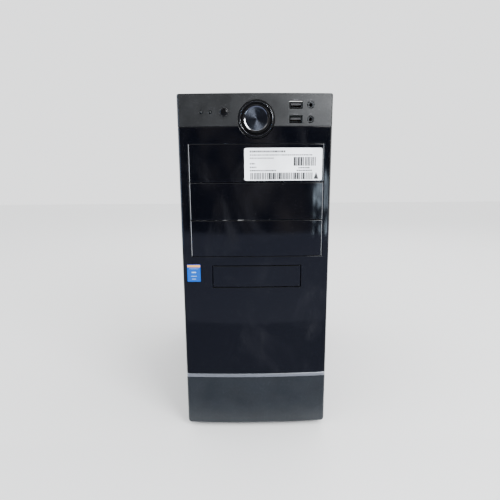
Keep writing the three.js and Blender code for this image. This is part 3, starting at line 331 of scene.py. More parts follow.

# %% [markdown]
# ## Finishes of the front
#
# Piano black is a deep colour under a hard, clear skin. What makes it look real is what lies on the
# skin: wiped smears that dull it in soft patches, specks of dust, and hairline scratches that run
# both ways. Smears and dust change the roughness and a little of the colour, scratches only the
# relief. The covers of the three large bays get a painted highlight along their upright edges, which stands
# for the reflection on their rounded edges.


# %% Piano black, graphite, satin black and silver
def piano_black(name="piano_black", painted_edge_glint=False):
    deep = (0.0014, 0.0016, 0.0028)
    box = PaintBox(name, deep, 0.07, IOR=1.5)
    smear = box.between(box.noise(16, 5, 0.6, box.placed((1, 1, 0.6)), 1.4), 0.47, 0.72)
    wiped = box.between(box.noise(60, 3, 0.5, box.placed((1, 1, 0.12))), 0.45, 0.7)
    haze = box.maths("MULTIPLY", smear, box.between(wiped, 0, 1, 0.45, 1.0))
    specks = box.between(box.cells(520), 0.10, 0.03)
    thin = box.between(box.noise(38, 2), 0.46, 0.62)
    dust = box.maths("MULTIPLY", specks, thin)
    dull = box.maths("ADD", box.between(haze, 0, 1, 0.06, 0.26), box.between(dust, 0, 1, 0, 0.4))
    box.roughness(dull)
    veiled = box.mixed(haze, deep, (0.006, 0.0062, 0.0082))
    box.colour(box.mixed(dust, veiled, (0.09, 0.09, 0.09)))
    if painted_edge_glint:
        # painted highlight: pale upright edges stand for the reflection along the covers' rounded edges,
        # brighter on the left
        box.painted_upright_glints(0.0002, (0.62, 0.64, 0.68), (0.75, 0.35))
    scratch = box.between(box.noise(900, 1, 0.5, box.placed((1, 1, 0.02))), 0.70, 0.78)
    crossing = box.between(box.noise(700, 1, 0.5, box.placed((0.03, 1, 1))), 0.71, 0.79)
    box.bump(box.maths("MAXIMUM", scratch, crossing), -0.000004, 0.5)
    box.bump(box.noise(7, 1), 0.0002, 0.35)
    return box.material


def moulded(name, colour, roughness, grain=1500, depth=0.00003, worn=None, fleck=None, metallic=0.0,
            **sockets):
    """Spark-textured plastic: an even grain, faint cloudiness, and paler corners."""
    box = PaintBox(name, colour, roughness, metallic, **sockets)
    cloud = box.between(box.noise(30, 3), 0.3, 0.7)
    box.colour(box.mixed(cloud, tuple(c * 0.9 for c in colour), tuple(c * 1.12 for c in colour)))
    if fleck:
        spark = box.between(box.cells(2600, "Color"), 0.80, 0.95)
        source = box.shader.inputs["Base Color"].links[0].from_socket
        box.colour(box.mixed(spark, source, fleck))
    box.roughness(box.between(box.noise(55, 4), 0.3, 0.7, roughness - 0.05, roughness + 0.07))
    box.bump(box.noise(grain, 2), depth, 0.5)
    if worn:
        box.edge_wear(0.0006, worn, 0.5)
    return box.material


def satin_silver():
    box = PaintBox("satin_silver", (0.60, 0.62, 0.65), 0.34, 0.85)
    grain = box.noise(1800, 2, 0.5, box.placed((0.05, 1, 1)))
    box.roughness(box.between(grain, 0.3, 0.7, 0.27, 0.42))
    box.colour(box.mixed(box.noise(25, 3), (0.33, 0.35, 0.385), (0.42, 0.44, 0.475)))
    box.bump(grain, 0.00001, 0.4)
    return box.material


gloss, cover_gloss = piano_black(), piano_black("cover_black", painted_edge_glint=True)
graphite = moulded("graphite_paint", (0.017, 0.018, 0.0192), 0.38, fleck=(0.06, 0.062, 0.066), metallic=0.4,
                   worn=(0.09, 0.095, 0.10))
slate = moulded("slate_paint", (0.0110, 0.0142, 0.0182), 0.40, fleck=(0.045, 0.05, 0.06), metallic=0.2,
                worn=(0.06, 0.068, 0.075))
satin_black = moulded("satin_black", (0.014, 0.0145, 0.017), 0.45, worn=(0.05, 0.05, 0.055))
silver = satin_silver()
print("front finishes:", [m.name for m in (gloss, graphite, slate, satin_black, silver)])

# %% [markdown]
# ## Metals and boards
#
# The chassis is pressed from zinc-dipped sheet, whose crystals show as large pale and dark cells. The
# side panels wear a baked powder, which dries to a fine orange peel. Circuit boards are green lacquer
# over copper, so their tracks show as faint raised lines.


# %% Zinc, powder coat, aluminium, rubber, boards, cables
def zinc_sheet():
    box = PaintBox("zinc_sheet", (0.50, 0.515, 0.53), 0.38, 0.9)
    crystal = box.cells(110, "Color", box.placed((1, 0.8, 1)))
    shade = box.node("ShaderNodeSeparateColor", {0: crystal}).outputs[0]
    streak = box.noise(240, 3, 0.6, box.placed((1, 0.15, 1)))
    box.colour(box.mixed(shade, (0.27, 0.28, 0.29), (0.33, 0.34, 0.35)))
    dull = box.between(streak, 0.3, 0.7, 0, 0.08)
    box.roughness(box.maths("ADD", box.between(shade, 0, 1, 0.30, 0.36), dull))
    box.bump(streak, 0.00001, 0.4)
    return box.material


def powder_coat():
    box = PaintBox("powder_coat", (0.019, 0.0195, 0.022), 0.46, Specular_IOR_Level=0.3)
    peel = box.noise(620, 2, 0.45)
    box.bump(peel, 0.00009, 0.55)
    box.bump(box.noise(2600, 2), 0.00002, 0.4)
    box.roughness(box.between(box.noise(14, 5, 0.6), 0.3, 0.7, 0.44, 0.50))
    box.colour(box.mixed(peel, (0.016, 0.0165, 0.0185), (0.022, 0.0225, 0.025)))
    box.edge_wear(0.0007, (0.09, 0.09, 0.095), 0.55)
    return box.material


def bare_aluminium(name="bare_aluminium", colour=(0.58, 0.59, 0.61), roughness=0.36):
    box = PaintBox(name, colour, roughness, 1.0)
    drawn = box.noise(900, 2, 0.5, box.placed((1, 1, 0.06)))
    box.roughness(box.between(drawn, 0.3, 0.7, roughness - 0.08, roughness + 0.1))
    box.colour(box.mixed(box.noise(40, 3), tuple(c * 0.86 for c in colour), tuple(c * 1.08 for c in colour)))
    box.bump(drawn, 0.000015, 0.4)
    return box.material


def circuit_board(name="circuit_board", stands=None):
    """Green lacquer over copper tracks. Between the two planes of stands, in x, it turns to black plastic."""
    box = PaintBox(name, (0.012, 0.085, 0.045), 0.34, Coat_Weight=0.3, Coat_Roughness=0.2)
    tracks = box.cells(330, feature="DISTANCE_TO_EDGE", distance="CHEBYCHEV")
    line = box.between(tracks, 0.10, 0.05)
    patch = box.between(box.noise(26, 1), 0.48, 0.52)
    traced = box.maths("MULTIPLY", line, patch)
    base = box.mixed(box.noise(18, 3), (0.009, 0.066, 0.036), (0.014, 0.10, 0.054))
    lacquer = box.mixed(traced, base, (0.035, 0.19, 0.095))
    side = box.node("ShaderNodeSeparateXYZ", {0: box.coords}).outputs["X"]
    standing = box.between(side, *stands) if stands else 0.0
    box.colour(box.mixed(standing, lacquer, (0.022, 0.022, 0.025)))
    box.bump(traced, 0.00004, 0.6)
    box.roughness(box.between(box.noise(200, 3), 0.3, 0.7, 0.28, 0.42))
    return box.material


def soft_rubber():
    box = PaintBox("soft_rubber", (0.012, 0.012, 0.013), 0.75)
    box.bump(box.noise(1300, 3), 0.00004, 0.6)
    grime = box.between(box.noise(60, 4), 0.45, 0.7)
    box.colour(box.mixed(grime, (0.011, 0.011, 0.012), (0.04, 0.039, 0.037)))
    return box.material


def cable_sleeve(thread=(0.030, 0.030, 0.034), gap=(0.004, 0.004, 0.004), pitch=520):
    """Woven sleeving: two sets of threads that cross on a slant."""
    box = PaintBox("black_sleeve", thread, 0.6)
    threads = [box.node("ShaderNodeTexWave", {"Vector": vector, "Scale": pitch}, bands_direction="DIAGONAL")
               for vector in (box.coords, box.placed((-1, 1, -1)))]
    weave = box.maths("MULTIPLY", *[made.outputs["Fac"] for made in threads])
    box.colour(box.mixed(box.between(weave, 0.05, 0.6), gap, thread))
    box.bump(weave, 0.0003, 0.8)
    return box.material


def clear_lens():
    box = PaintBox("clear_lens", (0.006, 0.007, 0.008), 0.12, Specular_IOR_Level=0.35)
    box.roughness(box.between(box.noise(300, 2), 0.3, 0.7, 0.08, 0.2))
    box.bump(box.noise(900, 2), 0.00001, 0.3)
    return box.material


zinc, powder, aluminium = zinc_sheet(), powder_coat(), bare_aluminium()
board_green, rubber, lens = circuit_board(), soft_rubber(), clear_lens()
BOARD_THICKNESS = 0.0016
BOARD_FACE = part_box("motherboard")[1].x - BOARD_THICKNESS
main_board = circuit_board("main_board", (BOARD_FACE - 0.0003, BOARD_FACE - 0.0005))
black_sleeve = cable_sleeve()
red_jacket = moulded("red_jacket", (0.36, 0.012, 0.012), 0.35, depth=0.00001)
fan_plastic = moulded("fan_plastic", (0.020, 0.020, 0.022), 0.38, depth=0.00001, worn=(0.06, 0.06, 0.065))
paper = moulded("label_paper", (0.84, 0.87, 0.92), 0.55, grain=2200, depth=0.00001)
enamel_blue = moulded("enamel_blue", (0.0002, 0.062, 0.33), 0.2, depth=0.000004, Specular_IOR_Level=0.2)
print("metals, boards and cables ready")

# %% [markdown]
# ## Dressing the solids
#
# The solids come as loose triangles with knife-sharp edges. Nothing real has those: pressed steel has a
# small radius, moulded plastic a larger one. Four live modifiers see to it without touching the mesh:
# Weld joins the triangles, Decimate dissolves what is flat, Bevel rounds the edges and Weighted Normal
# keeps large faces looking flat.


# %% Dress every solid
MM = 0.001
WELD_REACH, FLAT_ANGLE, CORNER_ANGLE, EDGE_STEPS = 0.01 * MM, math.radians(0.3), math.radians(32), 2


def eased(piece, edge):
    """Welds, flattens and rounds a piece's edges with live modifiers. edge is the radius in metres."""
    weld = piece.modifiers.new("weld", "WELD")
    weld.merge_threshold = WELD_REACH
    flat = piece.modifiers.new("flat", "DECIMATE")
    flat.decimate_type, flat.angle_limit = "DISSOLVE", FLAT_ANGLE
    bevel = piece.modifiers.new("edges", "BEVEL")
    bevel.width, bevel.segments = edge, EDGE_STEPS
    bevel.limit_method, bevel.angle_limit = "ANGLE", CORNER_ANGLE
    bevel.harden_normals = True
    normals = piece.modifiers.new("normals", "WEIGHTED_NORMAL")
    normals.keep_sharp = True
    piece.data.polygons.foreach_set("use_smooth", [True] * len(piece.data.polygons))


dressed = {
    (gloss, 0.7): "gloss_fascia small_bay_cover",
    (cover_gloss, 0.7): "bay_cover_1 bay_cover_2 bay_cover_3",
    (graphite, 0.8): "control_panel",
    (slate, 0.8): "lower_fascia",
    (silver, 0.5): "trim_strip",
    (satin_black, 0.4): "bezel_carrier power_inlet reset_button power_rocker audio_jack_upper "
                        "audio_jack_lower",
    (satin_black, 0.3): "power_button_ring",
    (zinc, 0.2): "chassis_floor chassis_front_panel chassis_rear_panel motherboard_tray bay_cage_left_wall "
                 "bay_cage_right_wall drive_cage slot_cover_1 slot_cover_2 slot_cover_3 slot_cover_4 "
                 "psu_case psu_cover rear_io_block usb_socket_upper usb_socket_lower",
    (zinc, 0.1): "io_shield power_button_spring",
    (powder, 0.35): "left_side_panel right_side_panel chassis_top_cover",
    (rubber, 0.6): "foot_front_left foot_front_right foot_rear_left foot_rear_right",
    (fan_plastic, 0.3): "rear_fan_frame rear_fan_rotor psu_fan_rotor cpu_fan_frame cpu_fan_rotor",
    (aluminium, 0.2): "cpu_heatsink hard_disk power_button thumbscrew_lower thumbscrew_upper",
    (main_board, 0.15): "motherboard",
    (board_green, 0.15): "front_io_board memory_module_1 memory_module_2",
    (black_sleeve, 0.0): "main_power_harness front_panel_harness",
    (red_jacket, 0.0): "disk_data_cable",
    (lens, 0.3): "led_light_pipe",
    (paper, 0.0): "stock_label",
    (enamel_blue, 0.2): "case_badge",
}
for (finish, edge_mm), names in dressed.items():
    for name in names.split():
        solid = nodes[name]
        solid.data.materials.clear()
        solid.data.materials.append(finish)
        eased(solid, edge_mm * MM)
print("dressed", sum(len(names.split()) for names in dressed.values()), "of", len(nodes), "solids")

# %% [markdown]
# ## A bench for new pieces
#
# What is missing is made from two simple moves: a block, and a profile spun round an axis as on a
# lathe. Each is added to one bmesh, in millimetres, and becomes an object whose place is in its mesh,
# so that it sits at the origin like the solids do. Then it is told which body it rides on.


# %% The bench: blocks and turned shapes
AXES = {"X": Matrix(((0, 0, 1), (1, 0, 0), (0, 1, 0))), "Y": Matrix(((0, 1, 0), (0, 0, 1), (1, 0, 0))),
        "Z": Matrix.Identity(3)}


class Stock:
    """A mesh in the making, in millimetres."""

    def __init__(self):
        self.mesh = bmesh.new()

    def faces(self, points, faces):
        made = [self.mesh.verts.new(Vector(point) * MM) for point in points]
        for face in faces:
            self.mesh.faces.new([made[i] for i in face])
        return self

    def block(self, x, y, z):
        """x, y and z are (low, high) pairs."""
        corners = [(x[i & 1], y[i >> 1 & 1], z[i >> 2]) for i in range(8)]
        sides = [(0, 2, 3, 1), (4, 5, 7, 6), (0, 1, 5, 4), (2, 6, 7, 3), (0, 4, 6, 2), (1, 3, 7, 5)]
        return self.faces(corners, sides)

    def turned(self, profile, centre=(0, 0, 0), axis="Y", steps=48, ring=False):
        """Spins (radius, height) pairs round an axis. A ring's profile closes on itself."""
        points, rows = [], []
        for radius, height in profile:
            count = steps if radius > 0 else 1
            rows.append([len(points) + i % count for i in range(steps)])
            for i in range(count):
                angle = math.tau * i / steps
                local = Vector((radius * math.cos(angle), radius * math.sin(angle), height))
                points.append(AXES[axis] @ local + Vector(centre))
        pairs = list(zip(rows, rows[1:])) + ([(rows[-1], rows[0])] if ring else [])
        faces = []
        for low, high in pairs:
            for i in range(steps):
                j = (i + 1) % steps
                corners = [low[i], low[j], high[j], high[i]]
                faces.append(list(dict.fromkeys(corners)))
        return self.faces(points, [f for f in faces if len(f) > 2])

    def data(self, name, round_to=40):
        bmesh.ops.recalc_face_normals(self.mesh, faces=self.mesh.faces)
        mesh = bpy.data.meshes.new(name)
        self.mesh.to_mesh(mesh)
        self.mesh.free()
        mesh.shade_smooth()
        mesh.set_sharp_from_angle(angle=math.radians(round_to))
        return mesh


def finished(piece, body, edge_mm=0):
    """The last touches: eased edges and the body it rides on."""
    if edge_mm:
        eased(piece, edge_mm * MM)
    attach(piece, body)


def box_mm(name):
    """The low and high corners of a solid, in millimetres."""
    return [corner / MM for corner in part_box(name)]


def middle_of(low, high):
    return (low + high) / 2


print("bench ready")

# %% [markdown]
# ## A bench for repeats
#
# Whatever comes in numbers is made by Geometry Nodes: one shape is drawn once, and a tree sets a copy of
# it on every place. The places are the points of a carrier mesh, and each carries its own turn and
# size, so one tree serves for screws, chips and printed marks alike. The tree ends by making the
# copies real and painting them, and its result is kept as a plain mesh.


# %% Geometry Nodes recipes
class Recipe:
    """A Geometry Nodes tree whose named inputs are the sizes a maker would change."""

    def __init__(self, name, **inputs):
        self.tree = bpy.data.node_groups.new(name, "GeometryNodeTree")
        face = self.tree.interface
        face.new_socket("Geometry", in_out="INPUT", socket_type="NodeSocketGeometry")
        self.ids = {key: face.new_socket(key, in_out="INPUT", socket_type="NodeSocket" + kind).identifier
                    for key, kind in inputs.items()}
        face.new_socket("Geometry", in_out="OUTPUT", socket_type="NodeSocketGeometry")
        self.given = self.tree.nodes.new("NodeGroupInput").outputs
        self.result = self.tree.nodes.new("NodeGroupOutput").inputs["Geometry"]

    def node(self, kind, inputs=(), **settings):
        made = self.tree.nodes.new(kind)
        for key, value in settings.items():
            setattr(made, key, value)
        for key, value in dict(inputs).items():
            if isinstance(value, bpy.types.NodeSocket):
                self.tree.links.new(value, made.inputs[key])
            else:
                made.inputs[key].default_value = value
        return made

    def maths(self, operation, a, b=0.0):
        return self.node("ShaderNodeMath", {0: a, 1: b}, operation=operation).outputs[0]

    def attribute(self, name):
        named = self.node("GeometryNodeInputNamedAttribute", {"Name": name}, data_type="FLOAT_VECTOR")
        return named.outputs["Attribute"]

    def ends(self, geometry):
        """Every recipe ends in the same way: copies made real, then painted."""
        real = self.node("GeometryNodeRealizeInstances", {"Geometry": geometry}).outputs[0]
        painted = self.node("GeometryNodeSetMaterial", {"Geometry": real, "Material": self.given["Finish"]})
        self.tree.links.new(painted.outputs[0], self.result)

    def run(self, name, carrier, **values):
        """The tree's result on that carrier mesh, as an object with a plain mesh."""
        piece = shown(name, carrier)
        step = piece.modifiers.new("recipe", "NODES")
        step.node_group = self.tree
        for key, value in values.items():
            step[self.ids[key]] = value
        graph = bpy.context.evaluated_depsgraph_get()
        mesh = bpy.data.meshes.new_from_object(piece.evaluated_get(graph), depsgraph=graph)
        piece.modifiers.clear()
        piece.data = mesh
        mesh.name = name
        return piece


stamping = Recipe("stamp_on_places", Stamp="Object", Finish="Material")
drawn_once = stamping.node("GeometryNodeObjectInfo", {"Object": stamping.given["Stamp"]}).outputs["Geometry"]
stamp_turn = stamping.node("FunctionNodeEulerToRotation", {0: stamping.attribute("turn")}).outputs[0]
stamping.ends(stamping.node("GeometryNodeInstanceOnPoints", {
    "Points": stamping.given["Geometry"], "Instance": drawn_once,
    "Rotation": stamp_turn, "Scale": stamping.attribute("size")}).outputs[0])


def stamped(name, stamp, places, finish, body, round_to=40):
    """Copies of a stamp mesh, one per (place in mm, turn in degrees, size)."""
    carrier = bpy.data.meshes.new(name)
    carrier.from_pydata([Vector(place) * MM for place, _, _ in places], [], [])
    turns = carrier.attributes.new("turn", "FLOAT_VECTOR", "POINT")
    sizes = carrier.attributes.new("size", "FLOAT_VECTOR", "POINT")
    for i, (_, turn, size) in enumerate(places):
        turns.data[i].vector = [math.radians(angle) for angle in turn]
        sizes.data[i].vector = size
    holder = bpy.data.objects.new(name + "_stamp", stamp)
    piece = stamping.run(name, carrier, Stamp=holder, Finish=finish)
    bpy.data.objects.remove(holder)
    piece.data.shade_smooth()
    piece.data.set_sharp_from_angle(angle=math.radians(round_to))
    finished(piece, body)


LEVEL, FULL = (0, 0, 0), (1, 1, 1)
plain_block = Stock().block((-0.5, 0.5), (-0.5, 0.5), (-0.5, 0.5)).data("plain_block")
print("recipe inputs:", list(stamping.ids))

# %% [markdown]
# ## Power button
#
# The face of the button is a shallow dish of aluminium, turned on a lathe with a blunt tool. The tool
# leaves thousands of fine rings, and light smears across them into bright fans that meet in the
# middle. Anisotropic shading gives exactly that, once its tangent follows the rings: it is the cross
# product of the button's axis and the direction from its centre. Round the dish runs a polished
# chamfer, and round that a black rim, which stays from the solid.

# %% Spun face and polished bead
button_low, button_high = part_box("power_button")
button_centre = (button_low + button_high) / 2
BUTTON_X, BUTTON_Z = button_centre.x / MM, button_centre.z / MM


def spun_metal():
    box = PaintBox("spun_metal", (0.20, 0.215, 0.24), 0.30, 1.0, Anisotropic=0.88)
    centred = box.placed((1, 1, 1), button_centre)
    round_axis = box.node("ShaderNodeVectorMath", {0: (0, 1, 0), 1: centred}, operation="CROSS_PRODUCT")
    tangent = box.node("ShaderNodeVectorMath", {0: round_axis.outputs[0]}, operation="NORMALIZE")
    box.tree.links.new(tangent.outputs[0], box.shader.inputs["Tangent"])
    flat = box.node("ShaderNodeVectorMath", {0: centred, 1: (1, 0, 1)}, operation="MULTIPLY").outputs[0]
    reach = box.node("ShaderNodeVectorMath", {0: flat}, operation="LENGTH").outputs["Value"]
    along = box.node("ShaderNodeCombineXYZ", {"X": reach}).outputs[0]
    rings = box.noise(5200, 2, 0.6, along)
    box.colour(box.mixed(rings, (0.032, 0.037, 0.050), (0.072, 0.080, 0.098)))
    box.roughness(box.between(rings, 0.3, 0.7, 0.22, 0.36))
    box.bump(rings, 0.00002, 0.5)
    return box.material


def polished():
    box = PaintBox("polished_metal", (0.30, 0.31, 0.33), 0.10, 1.0)
    box.roughness(box.between(box.noise(500, 3), 0.3, 0.7, 0.06, 0.16))
    box.colour(box.mixed(box.noise(150, 2), (0.20, 0.21, 0.23), (0.30, 0.31, 0.33)))
    return box.material


FINE = 96
bright = polished()
button_front = (BUTTON_X, button_low.y / MM, BUTTON_Z)
dish = [(0, 1.66), (4, 1.42), (8, 1.18), (12.2, 0.93), (12.2, 0.97), (0, 1.69)]
chamfer = [(12.2, 0.93), (12.35, 0.85), (13.5, 0.42), (13.68, 0.42), (13.6, 0.80), (12.2, 0.97)]
spun = Stock().turned(dish, button_front, steps=FINE)
spun_face = shown("button_spun_face", spun.data("button_spun_face"), spun_metal())
finished(spun_face, "power_button")
rim = Stock().turned(chamfer, button_front, steps=FINE, ring=True)
finished(shown("button_chamfer", rim.data("button_chamfer", 25), bright), "power_button")

BEAD_REACH, BEAD_RADIUS, BEAD_RISE = 18.1, 0.15, 0.02
bead_angles = [math.tau * i / 8 for i in range(8)]
bead = [(BEAD_REACH + BEAD_RADIUS * math.cos(a), BEAD_RISE + BEAD_RADIUS * math.sin(a)) for a in bead_angles]
ring_front = (BUTTON_X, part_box("power_button_ring")[0].y / MM, BUTTON_Z)
bead_stock = Stock().turned(bead, ring_front, steps=FINE, ring=True)
finished(shown("ring_bead", bead_stock.data("ring_bead", 80), bright), "tower")
ring_black = moulded("ring_black", (0.003, 0.003, 0.0035), 0.16, depth=0.000004, Specular_IOR_Level=0.1)
nodes["power_button"].data.materials[0] = nodes["power_button_ring"].data.materials[0] = ring_black
print("spun face", len(spun_face.data.polygons), "faces, centred on", [round(v, 1) for v in button_front])

# %% [markdown]
# ## Printed marks
#
# Ink has no thickness to speak of, but a mark must stand clear of the surface or the two would flicker.
# So each bar and dash is a sliver 0.03 mm thick, set on the curved front where a ray finds it. The
# stock label has a title, lines of small print and two bar codes. Their bars come from a seeded random
# sequence and spell nothing.


# %% Label print, badge and socket marks
INK_THICK = 0.03


def front_finder(name):
    """A function that gives the y, in mm, of a solid's front at x, z in mm."""
    tree = BVHTree.FromObject(nodes[name], bpy.context.evaluated_depsgraph_get())

    def front_at(x, z):
        hit = tree.ray_cast(Vector((x * MM, -1, z * MM)), Vector((0, 1, 0)))
        return hit[0].y / MM

    return front_at


def ink(name, colour):
    box = PaintBox(name, colour, 0.5)
    worn = box.between(box.noise(900, 2), 0.42, 0.6)
    box.colour(box.mixed(worn, colour, tuple(c + 0.015 for c in colour)))
    return box.material


class Print:
    """Bars and dashes on one solid's front."""

    def __init__(self, name):
        self.front, self.places = front_finder(name), []

    def bar(self, x, z, width, height):
        y = min(self.front(x + side * width * 0.45, z) for side in (-1, 0, 1))
        self.places.append(((x, y - INK_THICK / 2, z), LEVEL, (width, INK_THICK, height)))

    def dashes(self, left, right, z, height, mean):
        """Words of a line of small print, of that mean length."""
        x = left
        while x < right:
            width = min(mean * luck.uniform(0.5, 1.6), right - x)
            if width > 0.4:
                self.bar(x + width / 2, z, width, height)
            x += width + mean * 0.32

    def code(self, left, right, low, high):
        """A bar code: bars of one or two widths, with one or two gaps between them."""
        x = left
        while x < right:
            width = 1.2 * luck.choice((1, 1, 2))
            self.bar(x + width / 2, (low + high) / 2, width, high - low)
            x += width + 0.5 * luck.choice((1, 1, 2))


luck = random.Random(7)
black_ink, grey_ink = ink("black_ink", (0.008, 0.008, 0.010)), ink("grey_ink", (0.07, 0.07, 0.08))
white_ink = ink("white_ink", (0.22, 0.40, 0.62))
label_low, label_high = box_mm("stock_label")
bold, fine = Print("stock_label"), Print("stock_label")
TOP, LEFT = label_high.z, label_low.x
left_lines = (  # pen, right end, drop from the label's top, height, mean word
    (bold, 46, 3.8, 2.0, 1.9), (fine, 77, 7.6, 1.3, 1.6), (fine, 33, 11.0, 1.2, 1.5),
    (fine, 12, 17.0, 1.6, 1.7), (fine, 13.5, 21.0, 1.6, 1.7), (bold, 36, 24.6, 1.5, 1.3))
for pen, right, drop, height, word in left_lines:
    pen.dashes(LEFT + 6.1, LEFT + right, TOP - drop, height, word)
bold.code(LEFT + 55.5, LEFT + 79.5, TOP - 19.5, TOP - 9.8)
bold.dashes(LEFT + 61, LEFT + 74, TOP - 21.6, 1.5, 1.4)
fine.dashes(LEFT + 59, LEFT + 77, TOP - 24.6, 1.5, 1.6)
bold.code(LEFT + 6.6, LEFT + 76.0, TOP - 34.4, TOP - 26.9)
STEP = 1.15
for i in range(6):
    bold.bar(LEFT + 81.2, TOP - 27.6 - i * STEP, 1.0 + i * 0.85, STEP)
stamped("label_bold_print", plain_block, bold.places, black_ink, "tower")
stamped("label_fine_print", plain_block, fine.places, grey_ink, "tower")

badge_low, badge_high = box_mm("case_badge")
middle = middle_of(badge_low.x, badge_high.x)
amber = moulded("amber_band", (0.62, 0.30, 0.06), 0.14, depth=0.000004)
band, marks = Print("case_badge"), Print("case_badge")
for i in range(8):
    band.bar(badge_low.x + 1.3 + i * 1.88, badge_high.z - 1.9, 1.86, 2.6)
for drop, width, thick in ((5.0, 11.0, 0.3), (9.4, 5.2, 1.3), (14.0, 6.5, 0.6), (17.4, 4.5, 0.7)):
    for i in range(4):
        marks.bar(middle + (i - 1.5) * width / 4, badge_high.z - drop, width / 4 + 0.02, thick)
stamped("badge_band", plain_block, band.places, amber, "tower")
stamped("badge_marks", plain_block, marks.places, white_ink, "tower")

panel_marks = Print("control_panel")
icons = {  # over which socket: how far up, and the bars as (dx, dz, width, height)
    "usb_socket_": (2.5, ((0, 0, 3.4, 0.30), (1.9, 0, 0.8, 0.8), (-1.9, 0, 0.8, 0.8))),
    "audio_jack_": (1.5, ((0, 0.8, 1.6, 0.3), (-0.8, 0.2, 0.3, 1.2), (0.8, 0.2, 0.3, 1.2))),
}
for where in ("upper", "lower"):
    for kind, (rise, bars) in icons.items():
        low, high = box_mm(kind + where)
        for dx, dz, width, height in bars:
            panel_marks.bar(middle_of(low.x, high.x) + dx, high.z + rise + dz, width, height)
stamped("socket_marks", plain_block, panel_marks.places, grey_ink, "tower")
print("marks:", len(bold.places + fine.places), "on the label,", len(panel_marks.places), "by the sockets")

# %% [markdown]
# ## Sockets, lights and the reset button
#
# The two serial sockets are folded steel shells round a black tongue with four gilded contacts. Seen
# from outside only the rim of the shell catches light, so the steel shell is coloured satin black as painted
# shade for its dark inside, and a thin metal rim is laid round its mouth. The round sockets get a collar, the
# lights a small dome each, and the reset button a smooth black cap that rides on the button itself.

# %% Socket rims, tongues, collars, lamp domes, reset cap
dark_metal = bare_aluminium("dark_metal", (0.09, 0.095, 0.10), 0.30)
gilt = bare_aluminium("gilt", (0.72, 0.50, 0.20), 0.28)
rim_metal = bare_aluminium("rim_metal", (0.055, 0.058, 0.062), 0.25)
rims, tongues, contacts = Stock(), Stock(), []
for where in ("upper", "lower"):
    # painted shade: the steel shell is coloured satin black to stand for the shade inside it
    nodes["usb_socket_" + where].data.materials[0] = satin_black
    low, high = box_mm("usb_socket_" + where)
    wall, mouth = 0.4, (low.y - 0.05, low.y + 0.5)
    for x in ((low.x, low.x + wall), (high.x - wall, high.x)):
        rims.block(x, mouth, (low.z, high.z))
    for z in ((low.z, low.z + wall), (high.z - wall, high.z)):
        rims.block((low.x + wall, high.x - wall), mouth, z)
    top = high.z - 1.05
    tongues.block((low.x + 0.95, high.x - 0.95), (low.y + 0.9, low.y + 8), (top - 2.0, top + 0.05))
    contacts += [((low.x + 3.1 + i * 2.35, low.y + 4.5, top - 2.05), LEVEL, (1.1, 6.5, 0.12))
                 for i in range(4)]
finished(shown("usb_rims", rims.data("usb_rims"), rim_metal), "tower")
finished(shown("usb_tongues", tongues.data("usb_tongues"), satin_black), "tower")
stamped("usb_contacts", plain_block, contacts, gilt, "tower")

collar_profile = [(3.45, 0.0), (3.2, -0.35), (2.4, -0.35), (1.95, 0.15), (1.95, 0.6), (3.45, 0.6)]
collar = Stock().turned(collar_profile, steps=40, ring=True).data("collar")
jacks = [box_mm("audio_jack_" + where) for where in ("upper", "lower")]
places = [((middle_of(low.x, high.x), low.y, middle_of(low.z, high.z)), LEVEL, FULL) for low, high in jacks]
stamped("jack_collars", collar, places, dark_metal, "tower")

lens_low, lens_high = box_mm("led_light_pipe")
dome_profile = [(0, -0.75), (0.7, -0.62), (1.25, -0.3), (1.55, 0.1), (1.55, 0.6), (0, 0.6)]
dome = Stock().turned(dome_profile, steps=24)
light_z = middle_of(lens_low.z, lens_high.z)
places = [((x, lens_low.y + 0.3, light_z), LEVEL, FULL) for x in (lens_low.x + 2.4, lens_high.x - 2.4)]
stamped("lamp_domes", dome.data("lamp_dome"), places, lens, "tower", 60)

reset_low, reset_high = box_mm("reset_button")
reset_centre = (middle_of(reset_low.x, reset_high.x), reset_low.y, middle_of(reset_low.z, reset_high.z))
cap_profile = [(0, -0.95), (1.6, -0.88), (3.0, -0.62), (4.1, -0.2), (4.75, 0.4), (4.75, 1.2), (0, 1.2)]
cap = Stock().turned(cap_profile, reset_centre)
finished(shown("reset_cap", cap.data("reset_cap", 60), ring_black), "reset_button")
print("sockets: 2 rims, 2 tongues,", len(contacts), "contacts, 2 collars")

# %% [markdown]
# ## Return spring
#
# A spring is a rule: one circle, so many turns, so long. Geometry Nodes have the spiral ready-made, and
# a small circle swept along it is the wire. It replaces the plain coil of the solids. When the button
# goes in, the spring can't simply slide along with it; here it rides on the tower's body and is not
# squashed, so it stays as it is.

# %% Return spring
coiling = Recipe("spring_coil", Turns="Float", Radius="Float", Length="Float", Wire="Float",
                 Finish="Material")
spiral = coiling.node("GeometryNodeCurveSpiral", {
    "Resolution": 28, "Rotations": coiling.given["Turns"], "Start Radius": coiling.given["Radius"],
    "End Radius": coiling.given["Radius"], "Height": coiling.given["Length"]}).outputs[0]
wire = coiling.node("GeometryNodeCurvePrimitiveCircle", {
    "Resolution": 10, "Radius": coiling.given["Wire"]}).outputs[0]
coiling.ends(coiling.node("GeometryNodeCurveToMesh", {
    "Curve": spiral, "Profile Curve": wire, "Fill Caps": True}).outputs[0])

spring_low, spring_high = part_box("power_button_spring")
WIRE = 0.4 * MM
spring_radius = (spring_high.x - spring_low.x) / 2 - WIRE
spring_length = spring_high.y - spring_low.y
coil = coiling.run("return_spring", bpy.data.meshes.new("return_spring"), Turns=7.0, Radius=spring_radius,
                   Length=spring_length - 2 * WIRE, Wire=WIRE, Finish=zinc)
spring_foot = Vector((button_centre.x, spring_high.y, button_centre.z))
TO_REAR = Matrix.Rotation(math.radians(90), 4, "X")
coil.data.transform(Matrix.Translation(spring_foot - Vector((0, WIRE, 0))) @ TO_REAR)
coil.data.shade_smooth()
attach(coil, "tower")
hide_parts("power_button_spring")
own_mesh(coil)

